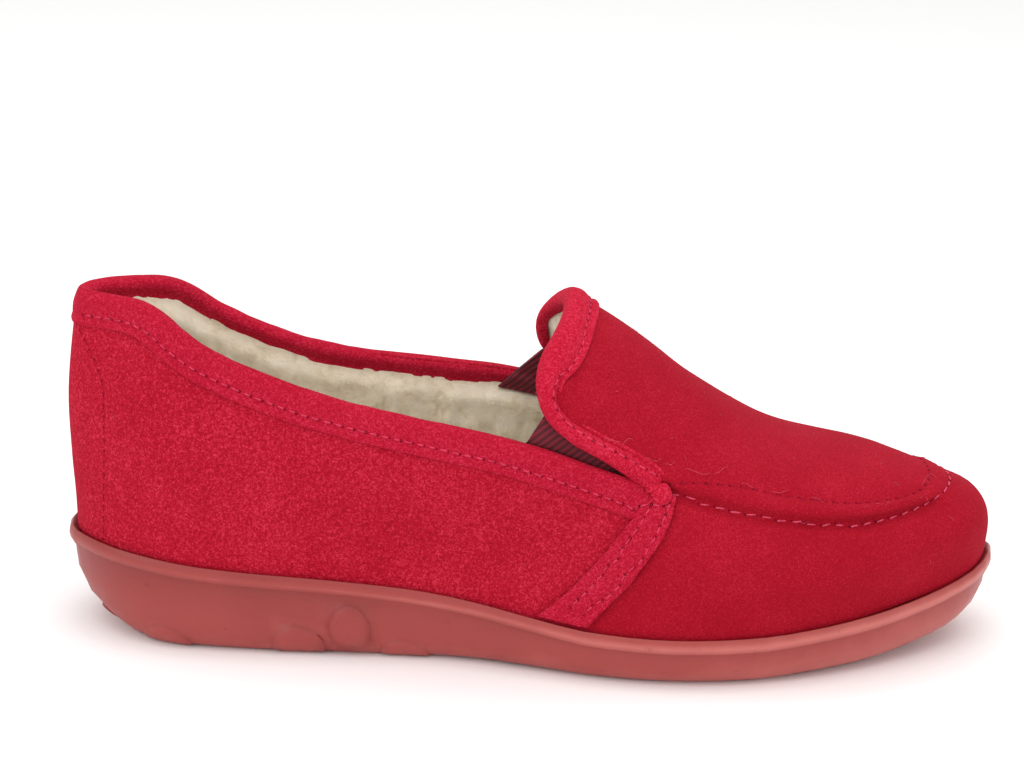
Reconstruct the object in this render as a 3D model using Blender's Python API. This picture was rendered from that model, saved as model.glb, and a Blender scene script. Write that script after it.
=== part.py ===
"""Right slipper: velour upper with a moccasin apron, bindings, elastic gores and a moulded unit sole.

Shoe millimetres are used throughout and turned into metres when a mesh is made: the station s runs
from the back of the heel to the toe, side is +1 on the inner (medial) side and -1 on the outer one.
"""
import bmesh
import bpy
import numpy as np

# Driving sizes, in millimetres
SOLE_LENGTH = 260.0
BALL_WIDTH = 88.0
COLLAR_HEIGHT = 96.5
INSTEP_HEIGHT = 99.0
LIP_HEIGHT = 28.0
WALL = 2.4
FIT_GAP = 0.3
LIP_BEAD = 4.2
LIP_OUT = 1.5
LEDGE_DEPTH = 1.2
FEATHER_INSET = 2.2
RECESS_INSET = 5.8
RECESS_DEPTH = 5.6
INSOLE_THICKNESS = 4.8
INSOLE_BEVEL = 0.8
BINDING_THICKNESS = 1.1
COLLAR_BINDING_WIDTH = 9.5
FLAP_BINDING_WIDTH = 8.0
FLAP_BINDING_END = 5.0
STRIP_THICKNESS = 1.1
GORE_THICKNESS = 1.0
GORE_LAP = 5.0
OUTER_GORE_COLUMNS = 5
INNER_GORE_COLUMNS = 6
APRON_FOLD_WIDTH = 6.0
APRON_RUN = 84.0
APRON_FOLD_RISE = 1.1
LUG_RISE = 0.6
LUG_ROOT = 1.2
LUG_MARGIN = 0.8
LUG_FLOOR = 0.25
SLIVER = 0.02
MM = 0.001
SOLE_COLUMNS = 96

# Outline of the sole's lip: station as a share of the length, then the share of the ball width
# taken on the outer and on the inner side
OUTLINE = (
    (0.000, 0.000, 0.000),
    (0.006, 0.096, 0.096),
    (0.025, 0.185, 0.185),
    (0.060, 0.272, 0.268),
    (0.115, 0.333, 0.326),
    (0.190, 0.355, 0.343),
    (0.290, 0.358, 0.332),
    (0.380, 0.365, 0.320),
    (0.440, 0.390, 0.330),
    (0.500, 0.434, 0.362),
    (0.560, 0.478, 0.407),
    (0.620, 0.505, 0.447),
    (0.680, 0.506, 0.475),
    (0.735, 0.484, 0.484),
    (0.790, 0.439, 0.472),
    (0.845, 0.376, 0.436),
    (0.895, 0.301, 0.382),
    (0.940, 0.217, 0.308),
    (0.970, 0.143, 0.236),
    (0.991, 0.052, 0.146),
    (1.000, -0.045, 0.045),
)

# Sole side along the shoe: lip height as a share of the heel's lip height, height of the tread
# face over the floor in mm, and how far the side is undercut from lip to tread in mm
SOLE_SIDE = (
    (0.000, 1.010, 2.60, 20.0),
    (0.030, 1.040, 1.20, 17.0),
    (0.080, 1.010, 0.00, 12.0),
    (0.160, 0.930, 0.00, 9.6),
    (0.300, 0.840, 0.00, 8.4),
    (0.380, 0.775, 0.25, 8.2),
    (0.440, 0.700, 0.55, 8.4),
    (0.500, 0.610, 0.30, 8.6),
    (0.560, 0.540, 0.00, 8.8),
    (0.640, 0.520, 0.00, 9.2),
    (0.740, 0.540, 0.00, 9.6),
    (0.800, 0.580, 0.60, 10.0),
    (0.860, 0.640, 1.30, 10.2),
    (0.920, 0.730, 3.10, 10.6),
    (0.970, 0.830, 5.60, 10.8),
    (1.000, 0.900, 8.20, 11.0),
)

# Collar edge of the quarters: station, half width and height, as shares of the sole length, ball
# width and collar height; the last row is the lower end of the side slot
COLLAR = (
    (0.0180, 0.000, 0.992),
    (0.0225, 0.048, 0.993),
    (0.0340, 0.078, 0.995),
    (0.0560, 0.104, 0.996),
    (0.0840, 0.139, 0.994),
    (0.1080, 0.180, 0.980),
    (0.1290, 0.214, 0.945),
    (0.1550, 0.234, 0.892),
    (0.1940, 0.238, 0.842),
    (0.2330, 0.246, 0.802),
    (0.2710, 0.261, 0.771),
    (0.3100, 0.281, 0.749),
    (0.3490, 0.302, 0.731),
    (0.3880, 0.322, 0.715),
    (0.4260, 0.342, 0.700),
    (0.4650, 0.362, 0.684),
    (0.5000, 0.376, 0.662),
    (0.5350, 0.383, 0.634),
    (0.5700, 0.385, 0.602),
    (0.5950, 0.382, 0.580),
    (0.6120, 0.377, 0.560),
)

# Side edge of the instep flap from its upper corner down to the slot's end
FLAP_SIDE = (
    (0.5010, 0.322, 0.845),
    (0.5030, 0.345, 0.790),
    (0.5110, 0.360, 0.742),
    (0.5260, 0.370, 0.705),
    (0.5500, 0.374, 0.664),
    (0.5820, 0.376, 0.617),
    (0.6120, 0.377, 0.560),
)

# Apron seam from the slot's end to the toe corner, outer side; the inner side mirrors it
APRON_SIDE = (
    (0.6120, 0.377, 0.560),
    (0.6500, 0.390, 0.532),
    (0.7000, 0.396, 0.500),
    (0.7500, 0.388, 0.472),
    (0.8000, 0.362, 0.455),
    (0.8450, 0.315, 0.450),
    (0.8850, 0.245, 0.455),
    (0.9170, 0.165, 0.465),
)

# Ridge of the instep and apron: station, height and the power of the arch across
CREST = (
    (0.5330, 0.9960, 1.55),
    (0.5560, 0.9680, 1.65),
    (0.5880, 0.9120, 1.80),
    (0.6320, 0.8270, 1.90),
    (0.6760, 0.7370, 2.00),
    (0.7200, 0.6600, 2.10),
    (0.7530, 0.6160, 2.15),
    (0.7860, 0.5880, 2.20),
    (0.8300, 0.5640, 2.20),
    (0.8640, 0.5500, 2.20),
    (0.9020, 0.5280, 2.15),
    (0.9300, 0.5020, 2.10),
    (0.9440, 0.4850, 2.00),
)

# Outward swell of the wall between feather line and top edge, in mm
SWELL = (
    (0.000, 3.0),
    (0.060, 2.0),
    (0.200, 1.4),
    (0.400, 2.0),
    (0.560, 2.4),
    (0.700, 4.2),
    (0.900, 5.2),
    (1.000, 5.6),
)

# Ridge offset towards the inner side, in mm, along the apron
RIDGE_SHIFT = (
    (0.500, 1.0),
    (0.700, 2.0),
    (0.850, 1.5),
    (1.000, 0.0),
)

# Tread lobes that climb the side: station, drop below the lip as a share of the side, half length
# along the sole as a share of its length, half height as a share of the lip height
LOBES = (
    (0.022, 0.80, 0.0208, 0.214),
    (0.113, 0.82, 0.0285, 0.221),
    (0.256, 0.76, 0.0285, 0.250),
    (0.310, 0.47, 0.0222, 0.270),
    (0.367, 0.82, 0.0246, 0.171),
)

# Side strip, a row for each level of the wall from the first up: its back and front edges, in wall
# columns forward of the slot's end
STRIP_COLUMNS = (
    (-0.88, 0.88),
    (0.02, 1.22),
    (0.20, 1.44),
    (0.27, 1.53),
    (0.28, 1.51),
    (0.20, 1.40),
    (0.04, 1.13),
)

QUARTER_STEPS = 30
APRON_STEPS = 13
FLAP_STEPS = 8
CROSS_SHARES = (0.0, 0.24, 0.5, 1.0)
CROSS_MIDDLE = 13
STRIP_CLEARANCE = 0.07
SLOT_FOOT_STATION = 0.520
TOE_CORNER_STATION = 0.965


def clear_scene():
    for item in list(bpy.data.objects):
        bpy.data.objects.remove(item, do_unlink=True)


def spline(knots, values, at):
    """Cubic Hermite through the rows, with slopes that never overshoot them."""
    knots = np.asarray(knots, float)
    values = np.asarray(values, float)
    at = np.clip(np.asarray(at, float), knots[0], knots[-1])
    step = np.diff(knots)
    rate = np.diff(values) / step
    slope = np.empty_like(values)
    slope[0] = rate[0]
    slope[-1] = rate[-1]
    for i in range(1, len(values) - 1):
        if rate[i - 1] * rate[i] <= 0:
            slope[i] = 0.0
        else:
            first = 2 * step[i] + step[i - 1]
            second = step[i] + 2 * step[i - 1]
            slope[i] = (first + second) / (first / rate[i - 1] + second / rate[i])
    i = np.clip(np.searchsorted(knots, at, side="right") - 1, 0, len(step) - 1)
    t = (at - knots[i]) / step[i]
    h = step[i]
    return (
        values[i] * (2 * t**3 - 3 * t**2 + 1)
        + values[i + 1] * (3 * t**2 - 2 * t**3)
        + h * slope[i] * (t**3 - 2 * t**2 + t)
        + h * slope[i + 1] * (t**3 - t**2)
    )


def column(rows, index):
    return np.array([row[index] for row in rows])


def through(points, count, closed=False, even=True):
    """A smooth curve through points, sampled count times by length."""
    points = np.asarray(points, float)
    size = len(points)
    dense = []
    spans = size if closed else size - 1
    for i in range(spans):
        before = points[(i - 1) % size] if closed or i > 0 else 2 * points[0] - points[1]
        here = points[i]
        after = points[(i + 1) % size]
        if closed or i + 2 < size:
            beyond = points[(i + 2) % size]
        else:
            beyond = 2 * after - here
        t0 = 0.0
        t1 = t0 + max(np.linalg.norm(here - before), 1e-6) ** 0.5
        t2 = t1 + max(np.linalg.norm(after - here), 1e-6) ** 0.5
        t3 = t2 + max(np.linalg.norm(beyond - after), 1e-6) ** 0.5
        for t in np.linspace(t1, t2, 25)[:-1]:
            a1 = before * (t1 - t) / (t1 - t0) + here * (t - t0) / (t1 - t0)
            a2 = here * (t2 - t) / (t2 - t1) + after * (t - t1) / (t2 - t1)
            a3 = after * (t3 - t) / (t3 - t2) + beyond * (t - t2) / (t3 - t2)
            b1 = a1 * (t2 - t) / (t2 - t0) + a2 * (t - t0) / (t2 - t0)
            b2 = a2 * (t3 - t) / (t3 - t1) + a3 * (t - t1) / (t3 - t1)
            dense.append(b1 * (t2 - t) / (t2 - t1) + b2 * (t - t1) / (t2 - t1))
    dense.append(points[0] if closed else points[-1])
    dense = np.array(dense)
    if not even:
        return dense
    length = np.concatenate([[0], np.cumsum(np.linalg.norm(np.diff(dense, axis=0), axis=1))])
    at = np.linspace(0, length[-1], count + 1 if closed else count)
    out = np.stack([np.interp(at, length, dense[:, k]) for k in range(dense.shape[1])], -1)
    return out[:-1] if closed else out


def outline_points():
    """Lip outline from the heel, along the outer side to the toe and back along the inner side."""
    outer = [(row[0] * SOLE_LENGTH, -row[1] * BALL_WIDTH) for row in OUTLINE]
    inner = [(row[0] * SOLE_LENGTH, row[2] * BALL_WIDTH) for row in OUTLINE]
    return np.array(outer + inner[-2:0:-1])


def plan_normals(ring):
    """Outward normals of a closed plan curve that starts at the heel and runs by the outer side."""
    along = np.roll(ring, -1, axis=0) - np.roll(ring, 1, axis=0)
    along /= np.linalg.norm(along, axis=1)[:, None]
    return np.stack([along[:, 1], -along[:, 0]], -1)


LIP = through(outline_points(), 720, closed=True)
LIP_OUTWARD = plan_normals(LIP)
TOE_INDEX = int(np.argmax(LIP[:, 0]))
MIDDLE_Y = 0.5 * (LIP[:, 1].max() + LIP[:, 1].min())


def side_value(station, index):
    shares = column(SOLE_SIDE, 0)
    return spline(shares, column(SOLE_SIDE, index), np.asarray(station) / SOLE_LENGTH)


def lip_height(station):
    return LIP_HEIGHT * side_value(station, 1)


def outline_inset(inset, picks):
    """Lip outline moved inwards, at picked positions of the 720 of the ring."""
    picks = np.asarray(picks, float)
    size = len(LIP)
    low = np.floor(picks).astype(int)
    part = (picks - low)[:, None]
    point = LIP[low % size] * (1 - part) + LIP[(low + 1) % size] * part
    out = LIP_OUTWARD[low % size] * (1 - part) + LIP_OUTWARD[(low + 1) % size] * part
    out /= np.linalg.norm(out, axis=1)[:, None]
    return point - out * np.reshape(inset, (-1, 1)), out


def pick_at_station(station, inner):
    """Ring position of a station, as a share of the length, on one side."""
    if inner:
        reach = np.arange(TOE_INDEX, len(LIP) + 1)
        return float(np.interp(-station * SOLE_LENGTH, -LIP[reach % len(LIP), 0], reach))
    reach = np.arange(0, TOE_INDEX + 1)
    return float(np.interp(station * SOLE_LENGTH, LIP[reach, 0], reach))


def make_object(name, verts, faces, color, rough):
    mesh = bpy.data.meshes.new(name)
    shift = np.array([-0.5 * SOLE_LENGTH, -MIDDLE_Y, 0.0])
    scaled = (np.asarray(verts, float) + shift) * MM
    mesh.from_pydata([tuple(v) for v in scaled], [], [tuple(int(i) for i in f) for f in faces])
    mesh.update()
    mesh.validate()
    item = bpy.data.objects.new(name, mesh)
    bpy.context.scene.collection.objects.link(item)
    material = bpy.data.materials.new(name)
    material.use_nodes = True
    shader = material.node_tree.nodes["Principled BSDF"]
    shader.inputs["Base Color"].default_value = (*color, 1.0)
    shader.inputs["Roughness"].default_value = rough
    mesh.materials.append(material)
    return item


def face_outward(item):
    """Turn all faces outward, by the sign of the volume."""
    mesh = item.data
    co = np.array([v.co[:] for v in mesh.vertices])
    mesh.calc_loop_triangles()
    tri = np.array([t.vertices[:] for t in mesh.loop_triangles])
    volume = np.einsum("ij,ij->i", co[tri[:, 0]], np.cross(co[tri[:, 1]], co[tri[:, 2]])).sum()
    if volume < 0:
        mesh.flip_normals()
    return item


def vertex_normals(verts, faces):
    total = np.zeros_like(verts)
    for face in faces:
        corner = verts[list(face)]
        size = len(face)
        for k in range(size):
            one = corner[(k + 1) % size] - corner[k]
            two = corner[(k - 1) % size] - corner[k]
            cross = np.cross(one, two)
            length = np.linalg.norm(cross)
            if length > 1e-9:
                angle = np.arctan2(length, np.dot(one, two))
                total[face[k]] += cross / length * angle
    return total / np.maximum(np.linalg.norm(total, axis=1), 1e-9)[:, None]


def split_quads(faces):
    """Cut every quad along its first diagonal, so that offsets of one face stay parallel."""
    cut = []
    for face in faces:
        cut.append(tuple(face[:3]))
        if len(face) == 4:
            cut.append((face[0], face[2], face[3]))
    return cut


def shell(verts, normals, faces, low, high):
    """Closed solid between two offsets of an open patch of faces."""
    used = sorted({i for face in faces for i in face})
    place = {old: new for new, old in enumerate(used)}
    count = len(used)
    inner = verts[used] + normals[used] * low
    outer = verts[used] + normals[used] * high
    solid = []
    edges = {}
    for face in split_quads(faces):
        ids = [place[i] for i in face]
        solid.append([i + count for i in ids])
        solid.append(ids[::-1])
        for a, b in zip(ids, ids[1:] + ids[:1]):
            edges[(a, b)] = True
    for a, b in edges:
        if (b, a) not in edges:
            solid.append([a, b, b + count, a + count])
    return np.vstack([inner, outer]), solid


def feather(picks):
    """Lower edge of the upper, just inside the lip and over the sole's ledge."""
    plan, out = outline_inset(np.full(len(picks), FEATHER_INSET), picks)
    edge, _ = outline_inset(np.zeros(len(picks)), picks)
    height = lip_height(edge[:, 0]) - LEDGE_DEPTH + FIT_GAP
    return np.column_stack([plan, height]), out


def table_curve(rows, side, count, high):
    points = [(r[0] * SOLE_LENGTH, side * r[1] * BALL_WIDTH, r[2] * high) for r in rows]
    return through(points, count)


def crest_at(q):
    """Ridge of the flap and apron at a share of the way from flap top to toe."""
    station = CREST[0][0] + (CREST[-1][0] - CREST[0][0]) * np.asarray(q, float)
    height = COLLAR_HEIGHT * spline(column(CREST, 0), column(CREST, 1), station)
    power = spline(column(CREST, 0), column(CREST, 2), station)
    shift = spline(column(RIDGE_SHIFT, 0), column(RIDGE_SHIFT, 1), station)
    return station * SOLE_LENGTH, height * INSTEP_HEIGHT / 99.0, power, shift


def cross_shares(width, edge):
    """Positions across a row: close steps by both edges for the binding or fold, then even ones."""
    near = [share * edge / width for share in CROSS_SHARES]
    middle = list(np.linspace(near[-1], 1 - near[-1], CROSS_MIDDLE))[1:-1]
    return np.array(near + middle + [1 - share for share in near[::-1]])


def apron_walk():
    """Shares of the way along the apron for its rows, with the last two steps making the toe fold."""
    fold = APRON_FOLD_WIDTH / APRON_RUN
    even = np.linspace(0.0, 1.0 - fold, APRON_STEPS - 1)
    return np.concatenate([even, [1.0 - 0.5 * fold, 1.0]])


def apron_grid():
    """Rows across the flap and apron, from the flap's top edge to the toe end of the seam."""
    flap = FLAP_STEPS
    rows = flap + APRON_STEPS
    ends = {}
    for side in (-1, 1):
        upper = table_curve(FLAP_SIDE, side, flap + 1, COLLAR_HEIGHT)
        dense = table_curve(APRON_SIDE, side, 401, COLLAR_HEIGHT)
        lower = dense[np.round(apron_walk() * 400).astype(int)]
        ends[side] = np.vstack([upper, lower[1:]])
    slot_q = 0.285
    share = np.concatenate([
        slot_q * (np.arange(flap) / flap) ** 1.15,
        slot_q + (1 - slot_q) * apron_walk(),
    ])
    grid = []
    for j in range(rows + 1):
        left = ends[-1][j]
        right = ends[1][j]
        station, height, power, shift = crest_at(share[j])
        width = np.linalg.norm(right - left) + 0.9 * abs(height - left[2])
        taper = FLAP_BINDING_END + (FLAP_BINDING_WIDTH - FLAP_BINDING_END) * 0.5**j
        edge = taper if j <= flap else APRON_FOLD_WIDTH
        if j == rows:
            edge = min(edge, 0.3 * width)
        t = cross_shares(width, min(edge, 0.26 * width))
        angle = t * np.pi
        c = -np.cos(angle)
        c = 0.55 * c + 0.45 * (2 * t - 1)
        arch = (1 - np.abs(c) ** power) ** (1 / power)
        base = left * (1 - (c[:, None] + 1) / 2) + right * (c[:, None] + 1) / 2
        middle = 0.5 * (left + right)
        row = base.copy()
        row[:, 2] += (height - middle[2]) * arch
        row[:, 0] += (station - middle[0]) * (1 - c * c) ** 0.8
        row[:, 1] += shift * (1 - c * c)
        grid.append(row)
    return np.array(grid)


def band_levels(length):
    """Shares up the wall: a foot step, even steps, then the two steps of the collar binding."""
    low = 2.6 / length
    band = min(COLLAR_BINDING_WIDTH / length, 0.45)
    middle = np.linspace(low, 1 - band, 5)
    return np.array([0.0, *middle, 1 - band / 2, 1.0])


def wall_column(foot, top, out, station):
    """One line up the wall: it leaves the sole nearly upright and swells outwards."""
    chord = top - foot
    length = np.linalg.norm(chord)
    swell = spline(column(SWELL, 0), column(SWELL, 1), station / SOLE_LENGTH)
    outward = np.array([out[0], out[1], 0.0])
    across = outward - chord * np.dot(outward, chord) / length**2
    across /= np.linalg.norm(across)
    rise = foot + np.array([0.0, 0.0, 0.3 * chord[2]])
    bend = foot + 0.62 * chord + 2.2 * swell * across
    v = band_levels(length)[:, None]
    first = (1 - v) ** 3 * foot + 3 * v * (1 - v) ** 2 * rise
    return first + 3 * v**2 * (1 - v) * bend + v**3 * top


def upper_surface():
    """Outer face of the upper: a wall ring from feather line to collar and apron seam, and the apron."""
    grid = apron_grid()
    flap = FLAP_STEPS
    near = table_curve(COLLAR, -1, QUARTER_STEPS + 1, COLLAR_HEIGHT)
    far = table_curve(COLLAR, 1, QUARTER_STEPS + 1, COLLAR_HEIGHT)
    tops = [*near[:-1]]
    slot_near = len(tops)
    tops += [grid[j, 0] for j in range(flap, len(grid))]
    corner_near = len(tops) - 1
    tops += [grid[-1, k] for k in range(1, grid.shape[1] - 1)]
    corner_far = len(tops)
    tops += [grid[j, -1] for j in range(len(grid) - 1, flap - 1, -1)]
    slot_far = len(tops) - 1
    tops += [*far[-2:0:-1]]
    tops = np.array(tops)
    anchors = [
        (0, 0.0),
        (slot_near, pick_at_station(SLOT_FOOT_STATION, False)),
        (corner_near, pick_at_station(TOE_CORNER_STATION, False)),
        ((corner_near + corner_far) / 2, float(TOE_INDEX)),
        (corner_far, pick_at_station(TOE_CORNER_STATION, True)),
        (slot_far, pick_at_station(SLOT_FOOT_STATION, True)),
        (len(tops), float(len(LIP))),
    ]
    run = np.concatenate([[0], np.cumsum(np.linalg.norm(np.diff(tops, axis=0), axis=1))])
    run = np.append(run, run[-1] + np.linalg.norm(tops[0] - tops[-1]))
    marks = [np.interp(a, np.arange(len(run)), run) for a, _ in anchors]
    picks = np.interp(run[:-1], marks, [p for _, p in anchors])
    feet, out = feather(picks)
    verts = []
    faces = []
    levels = 8
    ring = len(tops)
    for i in range(ring):
        line = wall_column(feet[i], tops[i], out[i], feet[i][0])
        verts.extend(line)
    for i in range(ring):
        j = (i + 1) % ring
        for k in range(levels - 1):
            a = i * levels + k
            b = j * levels + k
            faces.append((a, b, b + 1, a + 1))
    index = np.full(grid.shape[:2], -1)
    for n, j in enumerate(range(flap, len(grid))):
        index[j, 0] = (slot_near + n) * levels + levels - 1
        index[j, -1] = (slot_far - n) * levels + levels - 1
    for k in range(1, grid.shape[1] - 1):
        index[-1, k] = (corner_near + k) * levels + levels - 1
    for j in range(grid.shape[0]):
        for k in range(grid.shape[1]):
            if index[j, k] < 0:
                index[j, k] = len(verts)
                verts.append(grid[j, k])
    apron_start = len(faces)
    for j in range(grid.shape[0] - 1):
        for k in range(grid.shape[1] - 1):
            faces.append((index[j, k], index[j + 1, k], index[j + 1, k + 1], index[j, k + 1]))
    return {
        "verts": np.array(verts),
        "faces": faces,
        "index": index,
        "ring": ring,
        "levels": levels,
        "slot": (slot_near, slot_far),
        "corner": (corner_near, corner_far),
        "apron_start": apron_start,
        "flap": flap,
    }


def fold_rise(surface):
    """Height of the puffy fold inside the apron seam at each vertex."""
    rise = np.zeros(len(surface["verts"]))
    index = surface["index"]
    flap = surface["flap"]
    last = index.shape[0] - 1
    for j in range(flap + 1, last):
        fade = min(1.0, (j - flap) / 2.0)
        for k, share in ((1, 0.85), (2, 1.0)):
            rise[index[j, k]] = APRON_FOLD_RISE * share * fade
            rise[index[j, -1 - k]] = APRON_FOLD_RISE * share * fade
    for k in range(2, index.shape[1] - 2):
        rise[index[last - 1, k]] = max(rise[index[last - 1, k]], APRON_FOLD_RISE)
    return rise


def orient(verts, faces):
    """Flip the patch so that its normals point out of the shoe."""
    normals = vertex_normals(verts, faces)
    middle = verts.mean(axis=0)
    if np.einsum("ij,ij->i", normals, verts - middle).sum() < 0:
        faces = [tuple(face[::-1]) for face in faces]
        normals = -normals
    return faces, normals


def build_upper(surface):
    verts = surface["verts"]
    normals = surface["normals"]
    rise = surface["rise"]
    count = len(verts)
    inner = verts - normals * WALL
    outer = verts + normals * rise[:, None]
    faces = []
    edges = {}
    for face in split_quads(surface["faces"]):
        faces.append([i + count for i in face])
        faces.append(list(face)[::-1])
        for a, b in zip(face, face[1:] + face[:1]):
            edges[(a, b)] = True
    for a, b in edges:
        if (b, a) not in edges:
            faces.append([a, b, b + count, a + count])
    item = make_object("upper", np.vstack([inner, outer]), faces, (0.50, 0.012, 0.03), 0.9)
    return face_outward(item)


def build_overlay(name, surface, faces, low, high, color):
    verts, solid = shell(surface["verts"], surface["normals"], faces, low, high)
    return face_outward(make_object(name, verts, solid, color, 0.9))


def wall_faces(surface, columns, rows):
    """Faces of the wall ring between picked columns and levels."""
    faces = surface["faces"]
    levels = surface["levels"]
    ring = surface["ring"]
    return [faces[(i % ring) * (levels - 1) + k] for i in columns for k in rows]


def apron_face(surface, j, k):
    across = surface["index"].shape[1] - 1
    return surface["faces"][surface["apron_start"] + j * across + k]


def slot_point(surface, inner, offset, level):
    """Point and normal on the wall at one level, some columns forward of the slot's end."""
    near, far = surface["slot"]
    at = far - offset if inner else near + offset
    levels = surface["levels"]
    here = int(np.floor(at))
    part = at - here
    one = here * levels + level
    two = (here + 1) * levels + level
    point = surface["verts"][one] * (1 - part) + surface["verts"][two] * part
    normal = surface["normals"][one] * (1 - part) + surface["normals"][two] * part
    return point, normal / np.linalg.norm(normal)


def build_collar_binding(surface):
    near, far = surface["slot"]
    ring = surface["ring"]
    levels = surface["levels"]
    columns = list(range(0, near)) + list(range(far, ring))
    top = levels - 2
    faces = wall_faces(surface, columns, (top - 1, top))
    trimmed = dict(surface, verts=surface["verts"].copy(), normals=surface["normals"].copy())
    for inner in (False, True):
        end = far if inner else near
        for level in (top - 1, top, top + 1):
            back = STRIP_COLUMNS[level - 1][0]
            point, normal = slot_point(surface, inner, back - STRIP_CLEARANCE, level)
            trimmed["verts"][end * levels + level] = point
            trimmed["normals"][end * levels + level] = normal
    low = FIT_GAP
    return build_overlay("collar_binding", trimmed, faces, low, low + BINDING_THICKNESS, (0.6, 0.02, 0.05))


def build_flap_binding(surface):
    across = surface["index"].shape[1] - 1
    flap = surface["flap"]
    faces = []
    for j in range(flap - 1):
        for k in range(across):
            if j < 2 or k < 3 or k >= across - 3:
                faces.append(apron_face(surface, j, k))
    low = FIT_GAP
    return build_overlay("flap_binding", surface, faces, low, low + BINDING_THICKNESS, (0.6, 0.02, 0.05))


def build_strip(surface, inner):
    """Band from the slot's end down and back to the sole, laid on the wall."""
    points = []
    normals = []
    shares = (0.0, 0.5, 1.0)
    for level, (back, front) in enumerate(STRIP_COLUMNS, 1):
        for share in shares:
            point, normal = slot_point(surface, inner, back + share * (front - back), level)
            points.append(point)
            normals.append(normal)
    faces = []
    across = len(shares)
    for r in range(len(STRIP_COLUMNS) - 1):
        for c in range(across - 1):
            a = r * across + c
            faces.append((a, a + 1, a + across + 1, a + across))
    name = "side_strip_inner" if inner else "side_strip_outer"
    low = FIT_GAP
    verts, solid = shell(np.array(points), np.array(normals), faces, low, low + STRIP_THICKNESS)
    return face_outward(make_object(name, verts, solid, (0.58, 0.02, 0.045), 0.9))


def build_gore(surface, inner):
    """Elastic panel inside, from the back of the quarter's top edge to the back of the flap."""
    near, far = surface["slot"]
    verts = surface["verts"]
    normals = surface["normals"]
    levels = surface["levels"]
    index = surface["index"]
    depth = WALL + FIT_GAP + 0.5 * GORE_THICKNESS
    count = INNER_GORE_COLUMNS if inner else OUTER_GORE_COLUMNS
    low = []
    high = []
    for n in range(count):
        step = n + 2
        at = far + step if inner else near - step
        top = at * levels + levels - 1
        lap = GORE_LAP / COLLAR_BINDING_WIDTH
        point = verts[top] * (1 - lap) + verts[top - 2] * lap
        out = normals[top] * (1 - lap) + normals[top - 2] * lap
        low.append(point - out * depth)
        row = surface["flap"] - 1 - n * (surface["flap"] - 3) / (count - 1)
        second = index[:, -3] if inner else index[:, 2]
        upper = int(np.floor(row))
        part = row - upper
        point = verts[second[upper]] * (1 - part) + verts[second[upper + 1]] * part
        out = normals[second[upper]] * (1 - part) + normals[second[upper + 1]] * part
        high.append(point - out * depth)
    low = np.array(low)
    high = np.array(high)
    grid = np.array([low * (1 - t) + high * t for t in (0, 0.33, 0.67, 1)])
    sheet = grid.reshape(-1, 3)
    faces = []
    for r in range(3):
        for c in range(count - 1):
            a = r * count + c
            faces.append((a, a + 1, a + count + 1, a + count))
    out = vertex_normals(sheet, faces)
    half = 0.5 * GORE_THICKNESS
    solid_verts, solid = shell(sheet, out, faces, -half, half)
    name = "gore_inner" if inner else "gore_outer"
    return face_outward(make_object(name, solid_verts, solid, (0.25, 0.005, 0.02), 0.7))


def side_profile(lip, tread, undercut):
    """Inset and height down the side of the sole, from under the lip bead to the tread face."""
    rows = []
    start = lip - LIP_BEAD - 0.5
    for a in (0.0, 0.2, 0.4, 0.58, 0.74, 0.88, 1.0):
        angle = a * np.pi / 2
        inward = 1 - np.cos(angle) ** (2 / 2.3)
        down = np.sin(angle) ** (2 / 2.3)
        rows.append((LIP_OUT + (undercut - LIP_OUT) * inward, start + (tread - start) * down))
    return rows


def sole_rings():
    """Rings of the sole from the recess floor, over the lip, down the side to the tread face."""
    picks = np.linspace(0, len(LIP), SOLE_COLUMNS, endpoint=False)
    half = SOLE_COLUMNS // 2
    picks = np.concatenate([
        np.linspace(0, TOE_INDEX, half, endpoint=False),
        np.linspace(TOE_INDEX, len(LIP), half, endpoint=False),
    ])
    station = outline_inset(np.zeros(len(picks)), picks)[0][:, 0]
    lip = lip_height(station)
    tread = side_value(station, 2)
    undercut = side_value(station, 3)
    insets = []
    heights = []
    upper_rows = (
        (RECESS_INSET, -RECESS_DEPTH),
        (RECESS_INSET - 0.2, -LEDGE_DEPTH),
        (LIP_OUT + 0.35, -LEDGE_DEPTH),
        (LIP_OUT, -0.15),
        (0.85, 0.0),
        (0.2, -0.8),
        (0.0, -2.2),
        (0.3, -LIP_BEAD + 0.5),
        (LIP_OUT, -LIP_BEAD),
    )
    for inset, drop in upper_rows:
        insets.append(np.full(len(picks), inset))
        heights.append(lip + drop)
    side = [side_profile(a, b, c) for a, b, c in zip(lip, tread, undercut)]
    for k in range(len(side[0])):
        insets.append(np.array([row[k][0] for row in side]))
        heights.append(np.array([row[k][1] for row in side]))
    insets.append(undercut + 4.0)
    heights.append(tread.copy())
    rings = []
    for inset, height in zip(insets, heights):
        plan = outline_inset(inset, picks)[0]
        rings.append(np.column_stack([plan, height]))
    return np.array(rings)


def cap_faces(start, count, flip):
    """Cross strips that close a ring whose first vertex is at the heel and middle one at the toe."""
    faces = []
    half = count // 2
    for i in range(half):
        a, b = i, i + 1
        c, d = (count - i - 1) % count, (count - i) % count
        loop = [start + a, start + b]
        if c != b:
            loop.append(start + c)
        if d != a:
            loop.append(start + d)
        faces.append(loop[::-1] if flip else loop)
    return faces


def build_sole(rings):
    count = rings.shape[1]
    verts = rings.reshape(-1, 3).copy()
    faces = []
    for r in range(rings.shape[0] - 1):
        for i in range(count):
            j = (i + 1) % count
            faces.append([r * count + i, r * count + j, (r + 1) * count + j, (r + 1) * count + i])
    faces += cap_faces(0, count, True)
    faces += cap_faces((rings.shape[0] - 1) * count, count, False)
    return face_outward(make_object("sole", verts, faces, (0.33, 0.05, 0.055), 0.5))


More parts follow.
